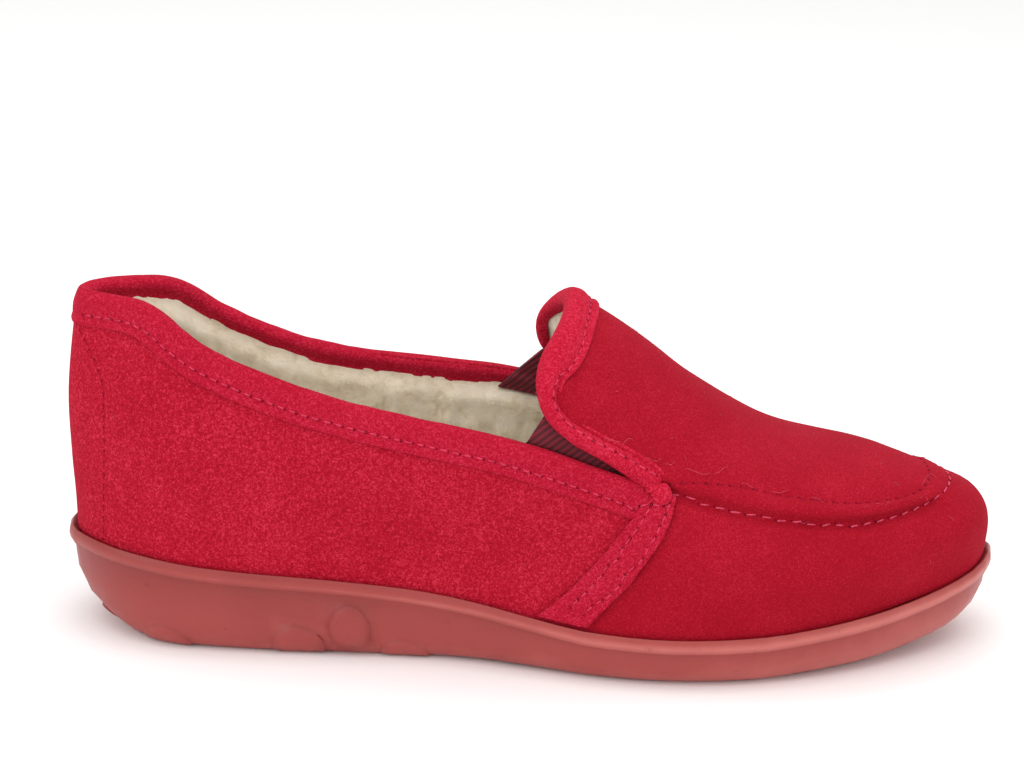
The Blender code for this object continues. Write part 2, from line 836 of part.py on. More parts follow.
def side_point(rings, column_at, level_at):
    """Point and normal on the side of the sole, at a fractional column and level."""
    count = rings.shape[1]
    i = int(np.floor(column_at))
    u = column_at - i
    k = int(min(np.floor(level_at), rings.shape[0] - 2))
    v = level_at - k
    p00 = rings[k, i % count]
    p10 = rings[k, (i + 1) % count]
    p01 = rings[k + 1, i % count]
    p11 = rings[k + 1, (i + 1) % count]
    point = p00 * (1 - u) * (1 - v) + p10 * u * (1 - v) + p01 * (1 - u) * v + p11 * u * v
    along = (p10 - p00) * (1 - v) + (p11 - p01) * v
    down = (p01 - p00) * (1 - u) + (p11 - p10) * u
    normal = np.cross(along, down)
    return point, normal / np.linalg.norm(normal)


def level_of(rings, column_at, drop):
    """Fractional level at a distance down the side below the lip bead."""
    count = rings.shape[1]
    i = int(round(column_at)) % count
    line = rings[8:, i]
    run = np.concatenate([[0], np.cumsum(np.linalg.norm(np.diff(line, axis=0), axis=1))])
    return 8 + float(np.interp(drop, run, np.arange(len(run)))), run[-2]


def build_lobe(rings, row, inner, number):
    """A raised tread lobe that lies on the side of the sole."""
    station, share, reach, drop = row
    reach = reach * SOLE_LENGTH
    drop = drop * LIP_HEIGHT
    count = rings.shape[1]
    half = count // 2
    if inner:
        order = np.arange(half, count + 1)
        stations = -rings[8, order % count, 0]
        middle = float(np.interp(-station * SOLE_LENGTH, stations, order))
    else:
        order = np.arange(0, half + 1)
        middle = float(np.interp(station * SOLE_LENGTH, rings[8, order, 0], order))
    here = int(middle) % count
    pitch = np.linalg.norm(rings[8, (here + 1) % count] - rings[8, here])
    _, total = level_of(rings, middle, 0.0)
    centre = share * total
    room = total - LUG_MARGIN - centre
    around = 16
    shares = (0.5, 1.0)
    points = []
    normals = []
    level, _ = level_of(rings, middle, centre)
    point, normal = side_point(rings, middle, level)
    points.append(point)
    normals.append(normal)
    for ring_share in shares:
        for n in range(around):
            angle = 2 * np.pi * n / around
            at = middle + ring_share * reach * np.cos(angle) / pitch
            fall = drop if np.sin(angle) < 0 else min(drop, room)
            low = centre + ring_share * fall * np.sin(angle)
            level, _ = level_of(rings, at, low)
            point, normal = side_point(rings, at, level)
            points.append(point)
            normals.append(normal)
    faces = []
    for n in range(around):
        m = (n + 1) % around
        faces.append((0, 1 + n, 1 + m))
        faces.append((1 + n, 1 + around + n, 1 + around + m, 1 + m))
    points = np.array(points)
    normals = np.array(normals)
    if np.dot(normals[0], points[0] - np.array([points[0][0], 0.0, 12.0])) < 0:
        normals = -normals
    verts, solid = shell(points, normals, faces, -LUG_ROOT, LUG_RISE)
    verts[:, 2] = np.maximum(verts[:, 2], LUG_FLOOR)
    item = make_object(f"lobe_{number}", verts, solid, (0.33, 0.05, 0.055), 0.5)
    return face_outward(item)


def join_lobes(sole, lobes):
    """Fuse the lobes with the sole, then merge the sliver edges that the cuts leave."""
    for lobe in lobes:
        fuse = sole.modifiers.new(lobe.name, "BOOLEAN")
        fuse.operation = "UNION"
        fuse.solver = "EXACT"
        fuse.object = lobe
        lobe.hide_render = True
        lobe.display_type = "WIRE"
    bpy.context.view_layer.update()
    fused = bpy.data.meshes.new_from_object(sole.evaluated_get(bpy.context.evaluated_depsgraph_get()))
    sole.modifiers.clear()
    mesh = bmesh.new()
    mesh.from_mesh(fused)
    bmesh.ops.triangulate(mesh, faces=mesh.faces)
    bmesh.ops.remove_doubles(mesh, verts=mesh.verts, dist=SLIVER * MM)
    bmesh.ops.dissolve_degenerate(mesh, edges=mesh.edges, dist=SLIVER * MM)
    bmesh.ops.triangulate(mesh, faces=mesh.faces)
    mesh.to_mesh(fused)
    mesh.free()
    sole.data = fused
    for lobe in lobes:
        bpy.data.objects.remove(lobe)


def build_insole():
    """Footbed in the recess of the sole, with its top at the lip."""
    half = SOLE_COLUMNS // 2
    picks = np.concatenate([
        np.linspace(0, TOE_INDEX, half, endpoint=False),
        np.linspace(TOE_INDEX, len(LIP), half, endpoint=False),
    ])
    rings = []
    for inset, rise in (
        (RECESS_INSET + INSOLE_BEVEL, 0.0),
        (RECESS_INSET + FIT_GAP, INSOLE_BEVEL),
        (RECESS_INSET + FIT_GAP, INSOLE_THICKNESS - 2 * INSOLE_BEVEL),
        (RECESS_INSET + 2 * INSOLE_BEVEL, INSOLE_THICKNESS),
    ):
        plan, _ = outline_inset(np.full(len(picks), inset), picks)
        edge, _ = outline_inset(np.zeros(len(picks)), picks)
        base = lip_height(edge[:, 0]) - RECESS_DEPTH + FIT_GAP
        rings.append(np.column_stack([plan, base + rise]))
    count = len(picks)
    verts = np.vstack(rings)
    faces = []
    for r in range(len(rings) - 1):
        for i in range(count):
            j = (i + 1) % count
            faces.append([r * count + i, r * count + j, (r + 1) * count + j, (r + 1) * count + i])
    faces += cap_faces(0, count, True)
    faces += cap_faces((len(rings) - 1) * count, count, False)
    return face_outward(make_object("insole", verts, faces, (0.6, 0.55, 0.42), 0.95))


def make_surface():
    surface = upper_surface()
    surface["faces"], surface["normals"] = orient(surface["verts"], surface["faces"])
    feet = np.arange(surface["ring"]) * surface["levels"]
    surface["normals"][feet, 2] = 0.0
    level = np.linalg.norm(surface["normals"][feet], axis=1)
    surface["normals"][feet] /= level[:, None]
    surface["rise"] = fold_rise(surface)
    return surface


def main():
    clear_scene()
    surface = make_surface()
    build_upper(surface)
    build_collar_binding(surface)
    build_flap_binding(surface)
    for inner in (False, True):
        build_strip(surface, inner)
        build_gore(surface, inner)
    rings = sole_rings()
    sole = build_sole(rings)
    lobes = []
    for number, row in enumerate(LOBES):
        lobes.append(build_lobe(rings, row, False, f"outer_{number}"))
        lobes.append(build_lobe(rings, row, True, f"inner_{number}"))
    join_lobes(sole, lobes)
    build_insole()


main()
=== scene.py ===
"""Looks of a fleece-lined velour slipper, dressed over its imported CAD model."""
import math
import bmesh
import bpy
import numpy as np
from mathutils import Matrix, Vector, noise
from mathutils.bvhtree import BVHTree

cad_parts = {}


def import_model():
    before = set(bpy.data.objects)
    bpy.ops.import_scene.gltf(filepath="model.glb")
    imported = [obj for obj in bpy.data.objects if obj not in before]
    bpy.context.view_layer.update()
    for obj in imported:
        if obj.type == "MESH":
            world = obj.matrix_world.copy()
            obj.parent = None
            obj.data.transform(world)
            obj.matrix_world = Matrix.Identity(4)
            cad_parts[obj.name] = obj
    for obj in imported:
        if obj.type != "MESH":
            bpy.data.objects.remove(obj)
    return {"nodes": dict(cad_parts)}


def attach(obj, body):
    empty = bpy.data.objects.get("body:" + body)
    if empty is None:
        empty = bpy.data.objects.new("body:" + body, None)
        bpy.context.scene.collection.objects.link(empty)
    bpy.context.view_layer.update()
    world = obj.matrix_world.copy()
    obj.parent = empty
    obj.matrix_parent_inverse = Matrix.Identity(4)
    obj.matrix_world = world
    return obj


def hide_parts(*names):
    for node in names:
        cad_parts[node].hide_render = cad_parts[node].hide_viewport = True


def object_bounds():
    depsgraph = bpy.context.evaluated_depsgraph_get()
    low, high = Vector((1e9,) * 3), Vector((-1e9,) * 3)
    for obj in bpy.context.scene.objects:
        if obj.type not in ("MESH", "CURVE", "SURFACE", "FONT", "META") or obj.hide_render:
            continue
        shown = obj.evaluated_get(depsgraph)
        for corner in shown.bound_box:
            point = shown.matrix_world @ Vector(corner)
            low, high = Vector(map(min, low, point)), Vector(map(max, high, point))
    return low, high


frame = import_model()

CAD_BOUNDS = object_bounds()
MM = 0.001

# Where the frame's middle lies in the tables' own stations and sides, in millimetres
MIDDLE_X = 130.0
MIDDLE_Y = -1.08

bl_info = {
    "name": "Velour slipper",
    "version": (1, 0, 0),
    "blender": (4, 5, 0),
    "location": "View3D > Sidebar > Slipper",
    "description": "Dresses the packed slipper in velour, fleece, stitches and moulded rubber",
    "category": "Object",
}

# Apron seam on the outer side, from the slot to the toe: station, side and height in millimetres
APRON_SEAM = (
    (161.5, -33.5, 53.4), (166.1, -34.0, 52.1), (173.1, -34.6, 50.3), (180.0, -34.8, 48.7),
    (187.1, -34.7, 47.1), (194.3, -34.2, 45.7), (201.4, -33.2, 44.6), (208.3, -31.8, 43.9),
    (215.2, -29.6, 43.5), (221.9, -26.6, 43.5), (228.2, -22.9, 43.8), (233.8, -18.6, 44.3),
    (238.4, -14.5, 44.9), (241.0, -12.0, 45.8), (243.2, -8.7, 46.4), (244.6, -5.1, 46.6),
    (245.3, -1.3, 46.8), (245.4, 0.6, 46.8),
)

# Upper edge of the apron's fold, on the outer side
FOLD_EDGE = (
    (164.8, -33.9, 54.6), (168.0, -34.0, 55.8), (174.0, -33.6, 55.2), (183.8, -31.9, 54.1),
    (190.0, -31.3, 52.6), (196.4, -30.8, 51.0), (205.5, -29.2, 49.6), (214.8, -27.4, 48.5),
    (225.2, -22.9, 47.9), (231.9, -18.1, 47.7), (236.2, -13.5, 48.0), (238.3, -8.0, 48.7),
    (239.2, -3.0, 49.1), (239.4, 0.9, 49.2),
)

# Side strip's two stitch rows on the outer side, from the slot down to the sole
STRIP_ROWS = (
    ((159.6, -35.4, 50.0), (158.3, -36.1, 47.0), (155.1, -37.6, 41.4), (152.8, -38.2, 38.3),
     (150.2, -38.6, 34.8), (147.6, -38.8, 31.6), (144.8, -38.8, 27.9), (141.4, -38.4, 23.9),
     (138.8, -38.0, 20.6)),
    ((164.6, -35.0, 51.2), (163.6, -36.0, 48.0), (161.5, -38.0, 43.0), (158.8, -39.0, 38.5),
     (156.8, -39.6, 35.7), (153.6, -39.9, 31.5), (151.6, -40.0, 28.9), (149.3, -40.0, 25.6),
     (146.0, -39.6, 23.0), (142.5, -38.9, 19.0)),
)

# Tip of the apron's fold at the toe: station, height and the reach of its soft part in millimetres,
# how often that part is smoothed, and the stations between which the seam's groove fades
TOE_TIP = (242.0, 48.0, 13.0)
TOE_PASSES = 45
TOE_FADE = (216.0, 238.0)
TOE_GROOVE = 0.15

# How far outside the strip its stitch lines start, so that they fall on its outer face
STRIP_LIFT = 2.5 * MM

# Knob where the flap's roll ends over the slot, the collar's fold and the strip's top: station,
# side, height and half width in millimetres
KNOB = (
    (155.0, -33.2, 60.4, 1.4), (157.1, -33.6, 59.0, 2.0), (159.8, -34.0, 57.6, 2.6),
    (161.9, -34.4, 56.4, 2.9), (163.0, -34.8, 54.8, 3.0), (163.4, -35.2, 52.9, 3.0),
    (163.2, -35.8, 51.2, 2.6),
)
KNOB_HEIGHT = 1.7
KNOB_POINTS = 9
KNOB_SUNK = 0.3
KNOB_ROOT = 1.2

# Corners of a dark sheet of the elastic across the slot's tip, inside where the slot closes, which darkens
# the open tip as painted shade:
# its back edge, then its front edge, each from the top down
SLOT_SHADE_CORNERS = (((151.0, -30.6, 64.5), (142.5, -31.8, 52.5)), ((165.5, -32.5, 57.0), (157.0, -33.5, 46.5)))
SLOT_SHADE_STEPS = 10
SLOT_SHADE_THICK = 0.3 * MM

# Room between an elastic and a binding's inner fold, thickness of the elastic, and how far it may give
GORE_GAP = 0.6 * MM
GORE_WALL = 1.0 * MM
GORE_GIVE = 2.5 * MM

# Stitches that carry the collar's row over the strip's top to the apron seam
BRIDGE_ROW = (
    (155.8, -36.4, 51.0), (159.7, -36.2, 50.9), (163.6, -36.0, 50.8), (166.0, -35.6, 50.4),
    (168.5, -34.9, 50.3),
)

# Height of the sole's lip in millimetres, at stations given as shares of the length
LIP_LINE = (
    (0.0, 28.3), (0.03, 29.1), (0.08, 28.3), (0.16, 26.0), (0.30, 23.5), (0.44, 19.6), (0.56, 15.1),
    (0.64, 14.6), (0.74, 15.1), (0.86, 17.9), (0.92, 20.4), (1.0, 25.2),
)

# Heel counter's seam on the outer side, from under the collar band down to the sole
HEEL_SEAM = (
    (6.6, -6.3, 84.9), (9.3, -8.6, 81.4), (12.2, -11.6, 76.8), (13.5, -13.8, 71.9), (13.8, -14.9, 68.0),
    (13.7, -17.1, 57.4), (13.5, -18.5, 46.4), (12.9, -19.0, 35.0), (12.6, -19.2, 29.5),
)

# Loose threads: start, then how far each runs along and up the cloth, in millimetres, and its curl
LOOSE_THREADS = (
    ((147.0, -32.8, 66.5), 7.0, 2.0, 1.5), ((152.0, -32.4, 64.5), 5.0, 2.2, 1.2),
    ((158.5, -31.8, 61.8), 6.0, 1.6, 1.8), ((163.5, -31.6, 60.2), 4.0, 1.2, 1.2),
    ((169.0, -31.6, 58.6), 9.0, 2.2, 2.0), ((177.0, -31.0, 57.0), 6.0, 2.4, 1.4),
    ((184.0, -31.6, 54.8), 5.0, 0.8, 1.0), ((192.0, -31.2, 52.8), 7.0, 0.8, 1.1),
    ((203.0, -29.6, 50.6), 5.0, 1.0, 0.9), ((235.5, -13.0, 48.8), 4.0, 2.2, 1.6),
    ((237.0, -9.0, 49.2), 4.5, 1.6, 1.8), ((200.0, -33.6, 45.2), 3.0, -0.8, 0.7),
    ((158.0, -38.6, 40.5), 4.0, -3.5, 0.8), ((152.0, -39.8, 30.5), 4.0, -4.0, 1.0),
    ((141.0, -38.8, 19.0), 4.5, -1.8, 1.2), ((134.0, -37.0, 17.6), 4.0, -0.6, 0.9),
)

# Point where the side slot closes, on the outer side
SLOT_END = (159.1, -33.2, 54.0)

# Middle line of the side strip and of the slot above it: height, and station in millimetres
FRONT_LINE = (
    (17.0, 31.0, 38.0, 50.0, 54.0, 66.0, 78.0),
    (138.0, 150.6, 155.8, 162.0, 159.1, 135.0, 118.0),
)

# Sections of the two folded bindings: distance down the wall and distance out from its middle
COLLAR_SECTION = (
    (9.7, 1.4), (9.5, 1.95), (8.6, 2.1), (7.9, 1.9), (7.3, 1.65), (6.7, 2.0), (5.4, 2.35), (3.6, 2.5),
    (1.8, 2.45), (0.7, 2.1), (0.0, 1.4), (-0.2, 0.0), (0.0, -1.4), (0.7, -2.3), (1.8, -2.7), (3.0, -2.4),
    (4.0, -1.9), (4.9, -1.8), (5.8, -2.3), (6.8, -2.7), (7.6, -2.2), (7.2, -1.3), (4.0, -1.3),
    (0.5, -1.28), (0.5, 1.28), (3.0, 1.3), (6.5, 1.3), (9.2, 1.3),
)
FLAP_SECTION = (
    (8.4, 1.5), (8.2, 2.2), (7.4, 2.45), (6.7, 2.2), (6.1, 1.9), (5.5, 2.35), (4.4, 2.95), (2.9, 3.4),
    (1.2, 3.35), (0.0, 2.9), (-0.9, 2.0), (-1.2, 0.0), (-0.9, -1.8), (-0.1, -2.5), (0.9, -2.7),
    (1.9, -2.5), (2.9, -2.3), (3.4, -1.9), (3.1, -1.3), (1.8, -1.3), (0.5, -1.28), (0.5, 1.28),
    (3.0, 1.3), (5.5, 1.3), (7.8, 1.3),
)

# Share of the flap binding's section at a height in millimetres: wide at the crest, narrow at the sides
FLAP_WIDTHS = ((50.0, 56.0, 62.0, 74.0, 82.0, 89.0), (0.80, 0.74, 0.62, 0.60, 0.80, 1.0))

# Half the upper's wall with its gap, and the share of the binding's outward swell at a station: the
# collar lies flat round the back of the heel
WALL_HALF = 1.3
HEEL_PLUMP = ((2.0, 16.0), (0.25, 1.0))

# Depth in a binding's section beyond which its cut edge lies, how far that edge tucks away in millimetres,
# and the share of the full width at which it starts to, and over which it does
CUT_EDGE = 5.8
CUT_TUCK = 1.4
TUCK_FROM = 0.86
TUCK_OVER = 0.2

# Distance down the wall from which a binding is laid on the real wall, half that wall in millimetres, and
# how far inside and outside of the wall's middle its face is looked for
LAID_FROM = 2.0
WALL_FACE = 1.2
PROBE = (6 * MM, 4 * MM)

# Angle in degrees over which an edge of the CAD is a sharp one
SHARP = 50

# Spacing of the points along an edge, and how far down the wall is felt for at its middle point
EDGE_PITCH = 1.6 * MM
EDGE_PROBE = 6 * MM

# Distance down the wall of each binding's row of stitches
FOLD_ROWS = (("collar_fold", 7.3), ("flap_fold", 6.1))

# Painted light on the sole's skin at a drop below the lip in millimetres: painted shade at the seam with the
# upper, a painted highlight on the bead, painted shade right below it, and paler further down as a painted
# reflection of the floor
LIP_PAINTED_LIGHT = (
    (0.0, 0.25), (1.0, 0.4), (2.4, 0.84), (3.6, 0.6), (4.8, 0.2), (8.0, 0.3), (14.0, 0.5), (24.0, 0.65),
)
LIP_SCALE = 40.0

# Fleece, all from the collar's edge in millimetres: width of the bare strip, where the pile starts to rise
# behind the side strip and in front of it, how far it takes to stand full, and where its hairs start; then
# the thickness of its backing
FLEECE_BARE = 2.4
FLEECE_START = (4.0, 2.6)
FLEECE_RISE = 5.0
HAIRS_FROM_EDGE = 8.5
FLEECE_BACK = 0.2 * MM

# Where the cloth puffs up beside a groove, and how widely, in reaches of the groove
PUFF_AT = 2.4
PUFF_WIDTH = 1.1

# A stitch: its stations along the thread, its swell and its drop into the cloth in thread radii, the
# points round it, and the share of stitches that are missing
STITCH_STATIONS = (-0.5, -0.36, 0.0, 0.36, 0.5)
STITCH_SWELL = (0.25, 0.85, 1.0, 0.85, 0.25)
STITCH_DROP = (-1.4, -0.2, 0.35, -0.2, -1.4)
STITCH_SECTION = 6
MISSED_STITCHES = 0.0

# A needle hole: points round it, depth of its dimple, height of its rim and depth of its underside
HOLE_SECTION = 7
HOLE_DIP = 0.10 * MM
HOLE_RIM = 0.07 * MM
HOLE_UNDER = 0.35 * MM

# Points round a hair, radius of the fleece's hairs and the loose threads and of the lint, and the number
# of lint fibres
HAIR_SECTION = 3
HAIR_RADIUS = 0.055 * MM
LINT_RADIUS = 0.045 * MM
LINT_COUNT = 90

# Tones of each finish from dark to light, as sRGB hex values. The second one of a finish, or its only
# one, is the colour that the panel shows.
TONES = {
    "velour": ("8A0A20", "A81026", "CE344C"),
    "apron": ("8C0A1E", "9C0D20", "B82238"),
    "binding": ("900C26", "AE132C", "C83450"),
    "roll": ("960D28", "B8152F", "D23A56"),
    "rubber": ("8A2C2A", "9E3C38", "BE625C", "C87068"),
    "fleece": ("CFBE98", "F6E6C6", "FFF6DE"),
    "elastic": ("4A0514", "780C24"),
    "thread": ("DE5470",),
    "thread_red": ("D6405E",),
    "thread_dark": ("9A1534",),
    "lint": ("CC5A74",),
    # Painted shade inside the needle holes
    "hole": ("3C0410",),
    "floor": ("FAFAF9",),
}

# Studio: the photograph's angle in degrees, the camera's distance, the length of a metre in its pixels at
# that distance, and the point of the shoe, in metres, that it places at a pixel of the picture
CAMERA_RISE = 18.0
CAMERA_TIP = 1.4
CAMERA_DISTANCE = 0.600
PIXELS_PER_METRE = 3600.0
PICTURE_SIZE = (1024, 768)
AIM = (-0.002, -0.0009, 0.045)
AIM_PIXEL = (527.5, 474)
SENSOR_WIDTH = 36.0

# Lights of the studio: name, place and width in metres, and power in watts
LIGHTS = (
    ("overhead", (0.05, -0.10, 1.1), 1.1, 5.6),
    ("window", (-0.9, -0.8, 0.7), 0.9, 3.4),
    ("fill", (0.9, -0.9, 0.5), 0.9, 1.2),
)
ROOM_LIGHT = 0.92

# Finishes made so far, and what one operator leaves for the next
MATERIALS = {}
SHARED = {}


def linear(code):
    """An sRGB hex value as the linear colour a shader wants."""
    out = []
    for k in (0, 2, 4):
        c = int(code[k:k + 2], 16) / 255
        out.append(c / 12.92 if c <= 0.04045 else ((c + 0.055) / 1.055) ** 2.4)
    return (*out, 1.0)


def world(point, side=1):
    """A point of the tables in metres, on the outer side or mirrored to the inner one."""
    return Vector(((point[0] - MIDDLE_X) * MM, (side * point[1] - MIDDLE_Y) * MM, point[2] * MM))


def station(point):
    """Station in millimetres of a point in metres."""
    return point.x / MM + MIDDLE_X


def in_front_of_strip(point):
    """True on the vamp, apron and flap, which are one smoother cloth."""
    return station(point) > float(np.interp(point.z / MM, *FRONT_LINE))


def add_node(tree, kind, settings=None, stops=(), **links):
    """Add a node with its settings, the stops of its color ramp and its links.

    A setting is a property, or an input by its name or number. A link is a node and its output, and
    goes to the input of that name, or to input 2 where it is called i2.
    """
    node = tree.nodes.new(kind)
    for name, value in (settings or {}).items():
        if isinstance(name, str) and hasattr(node, name) and name not in node.inputs:
            setattr(node, name, value)
        else:
            node.inputs[name].default_value = value
    if stops:
        points = node.color_ramp.elements
        while len(points) < len(stops):
            points.new(0.5)
        for point, (place, color) in zip(points, stops):
            point.position = place
            point.color = color
    for name, source in links.items():
        key = int(name[1:]) if name[0] == "i" and name[1:].isdigit() else name
        tree.links.new(source[0].outputs[source[1]], node.inputs[key])
    return node


def new_material(name, **surface):
    """A material, its node tree and shader, and the place that its patterns read."""
    material = bpy.data.materials.new(name)
    material.use_nodes = True
    tree = material.node_tree
    shader = tree.nodes["Principled BSDF"]
    for key, value in surface.items():
        shader.inputs[key.replace("_", " ")].default_value = value
    return material, tree, shader, (add_node(tree, "ShaderNodeTexCoord"), "Object")


def grey(value):
    """A grey whose channels all carry one value."""
    return (value, value, value, 1.0)


def velour(name, tones, pile, cloud_share=0.10, bump=0.35):
    """Brushed polyester velour: a short pile that scatters light softly and lies in mottled tufts."""
    material, tree, shader, place = new_material(name, Roughness=0.95, Specular_IOR_Level=0.08,
                                                 Sheen_Weight=0.10, Sheen_Roughness=0.5,
                                                 Sheen_Tint=linear("E0405F"))
    cloud = add_node(tree, "ShaderNodeTexNoise", {"Scale": 1 / (16 * MM), "Detail": 4.0, "Roughness": 0.6},
                     Vector=place)
    tuft = add_node(tree, "ShaderNodeTexNoise", {"Scale": 1 / (1.7 * pile * MM), "Detail": 3.0,
                                                 "Roughness": 0.7}, Vector=place)
    fine = add_node(tree, "ShaderNodeTexNoise", {"Scale": 1 / (0.9 * pile * MM), "Detail": 2.0,
                                                 "Roughness": 0.8}, Vector=place)
    near = add_node(tree, "ShaderNodeMix", {"data_type": "FLOAT", "Factor": 0.6}, i2=(tuft, "Fac"),
                    i3=(fine, "Fac"))
    both = add_node(tree, "ShaderNodeMix", {"data_type": "FLOAT", "Factor": cloud_share}, i2=(near, 0),
                    i3=(cloud, "Fac"))
    color = add_node(tree, "ShaderNodeValToRGB", stops=tuple(zip((0.36, 0.5, 0.64), tones)), Fac=(both, 0))
    tree.links.new(color.outputs["Color"], shader.inputs["Base Color"])
    low = add_node(tree, "ShaderNodeBump", {"Strength": bump, "Distance": 0.5 * MM}, Height=(tuft, "Fac"))
    high = add_node(tree, "ShaderNodeBump", {"Strength": bump, "Distance": 0.3 * MM}, Height=(fine, "Fac"),
                    Normal=(low, "Normal"))
    tree.links.new(high.outputs["Normal"], shader.inputs["Normal"])
    return material


def foam_rubber(name, tones):
    """Moulded polyurethane foam: a satin skin, paler to the front, with painted light on its wall (a painted
    highlight along the bead, painted shade below the bead and the lip, a painted reflection of the floor low
    down), faintly scuffed.
    """
    material, tree, shader, place = new_material(name, Specular_IOR_Level=0.45)
    ends = {"From Min": CAD_BOUNDS[0][0], "From Max": CAD_BOUNDS[1][0]}
    cloud = add_node(tree, "ShaderNodeTexNoise", {"Scale": 1 / (22 * MM), "Detail": 4.0, "Roughness": 0.6},
                     Vector=place)
    split = add_node(tree, "ShaderNodeSeparateXYZ", Vector=place)
    # Painted light: the sole's wall is painted darker high up, as the shade under the lip, and paler low
    # down, as a reflection of the white floor
    low = add_node(tree, "ShaderNodeMapRange", {"From Max": 24 * MM, "To Min": 0.62, "To Max": 0.30},
                   Value=(split, "Z"))
    front = add_node(tree, "ShaderNodeMapRange", {**ends, "To Min": 0.16, "To Max": 0.98}, Value=(split, "X"))
    ways = add_node(tree, "ShaderNodeMix", {"data_type": "FLOAT", "Factor": 0.6}, i2=(low, 0), i3=(front, 0))
    share = add_node(tree, "ShaderNodeMapRange", ends, Value=(split, "X"))
    lip = add_node(tree, "ShaderNodeValToRGB", Fac=(share, 0),
                   stops=[(at, grey(tall / LIP_SCALE)) for at, tall in LIP_LINE])
    rise = add_node(tree, "ShaderNodeMath", {"operation": "MULTIPLY", 1: 1 / (LIP_SCALE * MM)},
                    i0=(split, "Z"))
    below = add_node(tree, "ShaderNodeMath", {"operation": "SUBTRACT"}, i0=(lip, "Color"), i1=(rise, 0))
    # Painted light along the wall by drop below the lip: painted shade at the upper's seam, a painted
    # highlight on the bead, painted shade just below it, paler lower down as a painted reflection of the
    # floor
    band = add_node(tree, "ShaderNodeValToRGB", Fac=(below, 0),
                    stops=[(drop / LIP_SCALE, grey(tone)) for drop, tone in LIP_PAINTED_LIGHT])
    sides = add_node(tree, "ShaderNodeMix", {"data_type": "FLOAT", "Factor": 0.4}, i2=(ways, 0),
                     i3=(band, "Color"))
    mix = add_node(tree, "ShaderNodeMix", {"data_type": "FLOAT", "Factor": 0.22}, i2=(sides, 0),
                   i3=(cloud, "Fac"))
    color = add_node(tree, "ShaderNodeValToRGB", stops=tuple(zip((0.30, 0.5, 0.66, 0.82), tones)),
                     Fac=(mix, 0))
    scuffs = add_node(tree, "ShaderNodeTexNoise", {"Scale": 1 / (3 * MM), "Detail": 6.0, "Roughness": 0.7},
                      Vector=place)
    rubbed = add_node(tree, "ShaderNodeValToRGB", stops=((0.64, grey(1.0)), (0.72, (0.72, 0.62, 0.60, 1.0))),
                      Fac=(scuffs, "Fac"))
    worn = add_node(tree, "ShaderNodeMix", {"data_type": "RGBA", "blend_type": "MULTIPLY", "Factor": 1.0},
                    i6=(color, "Color"), i7=(rubbed, "Color"))
    tree.links.new(worn.outputs[2], shader.inputs["Base Color"])
    skin = add_node(tree, "ShaderNodeTexNoise", {"Scale": 1 / (0.7 * MM), "Detail": 3.0}, Vector=place)
    wave = add_node(tree, "ShaderNodeBump", {"Strength": 0.12, "Distance": 0.3 * MM}, Height=(skin, "Fac"))
    dents = add_node(tree, "ShaderNodeBump", {"Strength": 0.15, "Distance": 1.2 * MM}, Height=(cloud, "Fac"),
                     Normal=(wave, "Normal"))
    tree.links.new(dents.outputs["Normal"], shader.inputs["Normal"])
    gloss = add_node(tree, "ShaderNodeMapRange", {"From Min": 0.3, "From Max": 0.7, "To Min": 0.36,
                                                  "To Max": 0.52}, Value=(cloud, "Fac"))
    tree.links.new(gloss.outputs[0], shader.inputs["Roughness"])
    return material


def fleece(name, tones):
    """Wool pile: cream curls in soft clumps, with painted shade making it grey in the hollows between them.
    """
    material, tree, shader, place = new_material(name, Roughness=1.0, Specular_IOR_Level=0.05,
                                                 Sheen_Weight=0.9, Sheen_Roughness=0.7)
    curl = add_node(tree, "ShaderNodeTexNoise", {"Scale": 1 / (6 * MM), "Detail": 5.0, "Roughness": 0.65,
                                                 "Distortion": 0.6}, Vector=place)
    # The dark tone is painted shade in the hollows between the clumps
    color = add_node(tree, "ShaderNodeValToRGB", stops=tuple(zip((0.28, 0.48, 0.68), tones)),
                     Fac=(curl, "Fac"))
    tree.links.new(color.outputs["Color"], shader.inputs["Base Color"])
    hair = add_node(tree, "ShaderNodeTexNoise", {"Scale": 1 / (0.8 * MM), "Detail": 4.0, "Roughness": 0.75,
                                                 "Distortion": 1.2}, Vector=place)
    wave = add_node(tree, "ShaderNodeBump", {"Strength": 0.7, "Distance": 1.0 * MM}, Height=(hair, "Fac"))
    tree.links.new(wave.outputs["Normal"], shader.inputs["Normal"])
    return material


def ribbed_elastic(name, tones):
    """Woven elastic: matt cords across its stretch, drawn 1.6 mm apart so that they show."""
    material, tree, shader, place = new_material(name, Roughness=0.8, Sheen_Weight=0.1)
    turn = add_node(tree, "ShaderNodeMapping", {"Rotation": (0.0, math.radians(-52), 0.0)}, Vector=place)
    ribs = add_node(tree, "ShaderNodeTexWave", {"wave_type": "BANDS", "bands_direction": "X",
                                                "Scale": 1 / (5.0 * MM), "Distortion": 0.3, "Detail": 1.0},
                    Vector=(turn, "Vector"))
    color = add_node(tree, "ShaderNodeValToRGB", stops=tuple(zip((0.15, 0.85), tones)), Fac=(ribs, "Fac"))
    tree.links.new(color.outputs["Color"], shader.inputs["Base Color"])
    wave = add_node(tree, "ShaderNodeBump", {"Strength": 0.5, "Distance": 0.3 * MM}, Height=(ribs, "Fac"))
    tree.links.new(wave.outputs["Normal"], shader.inputs["Normal"])
    return material


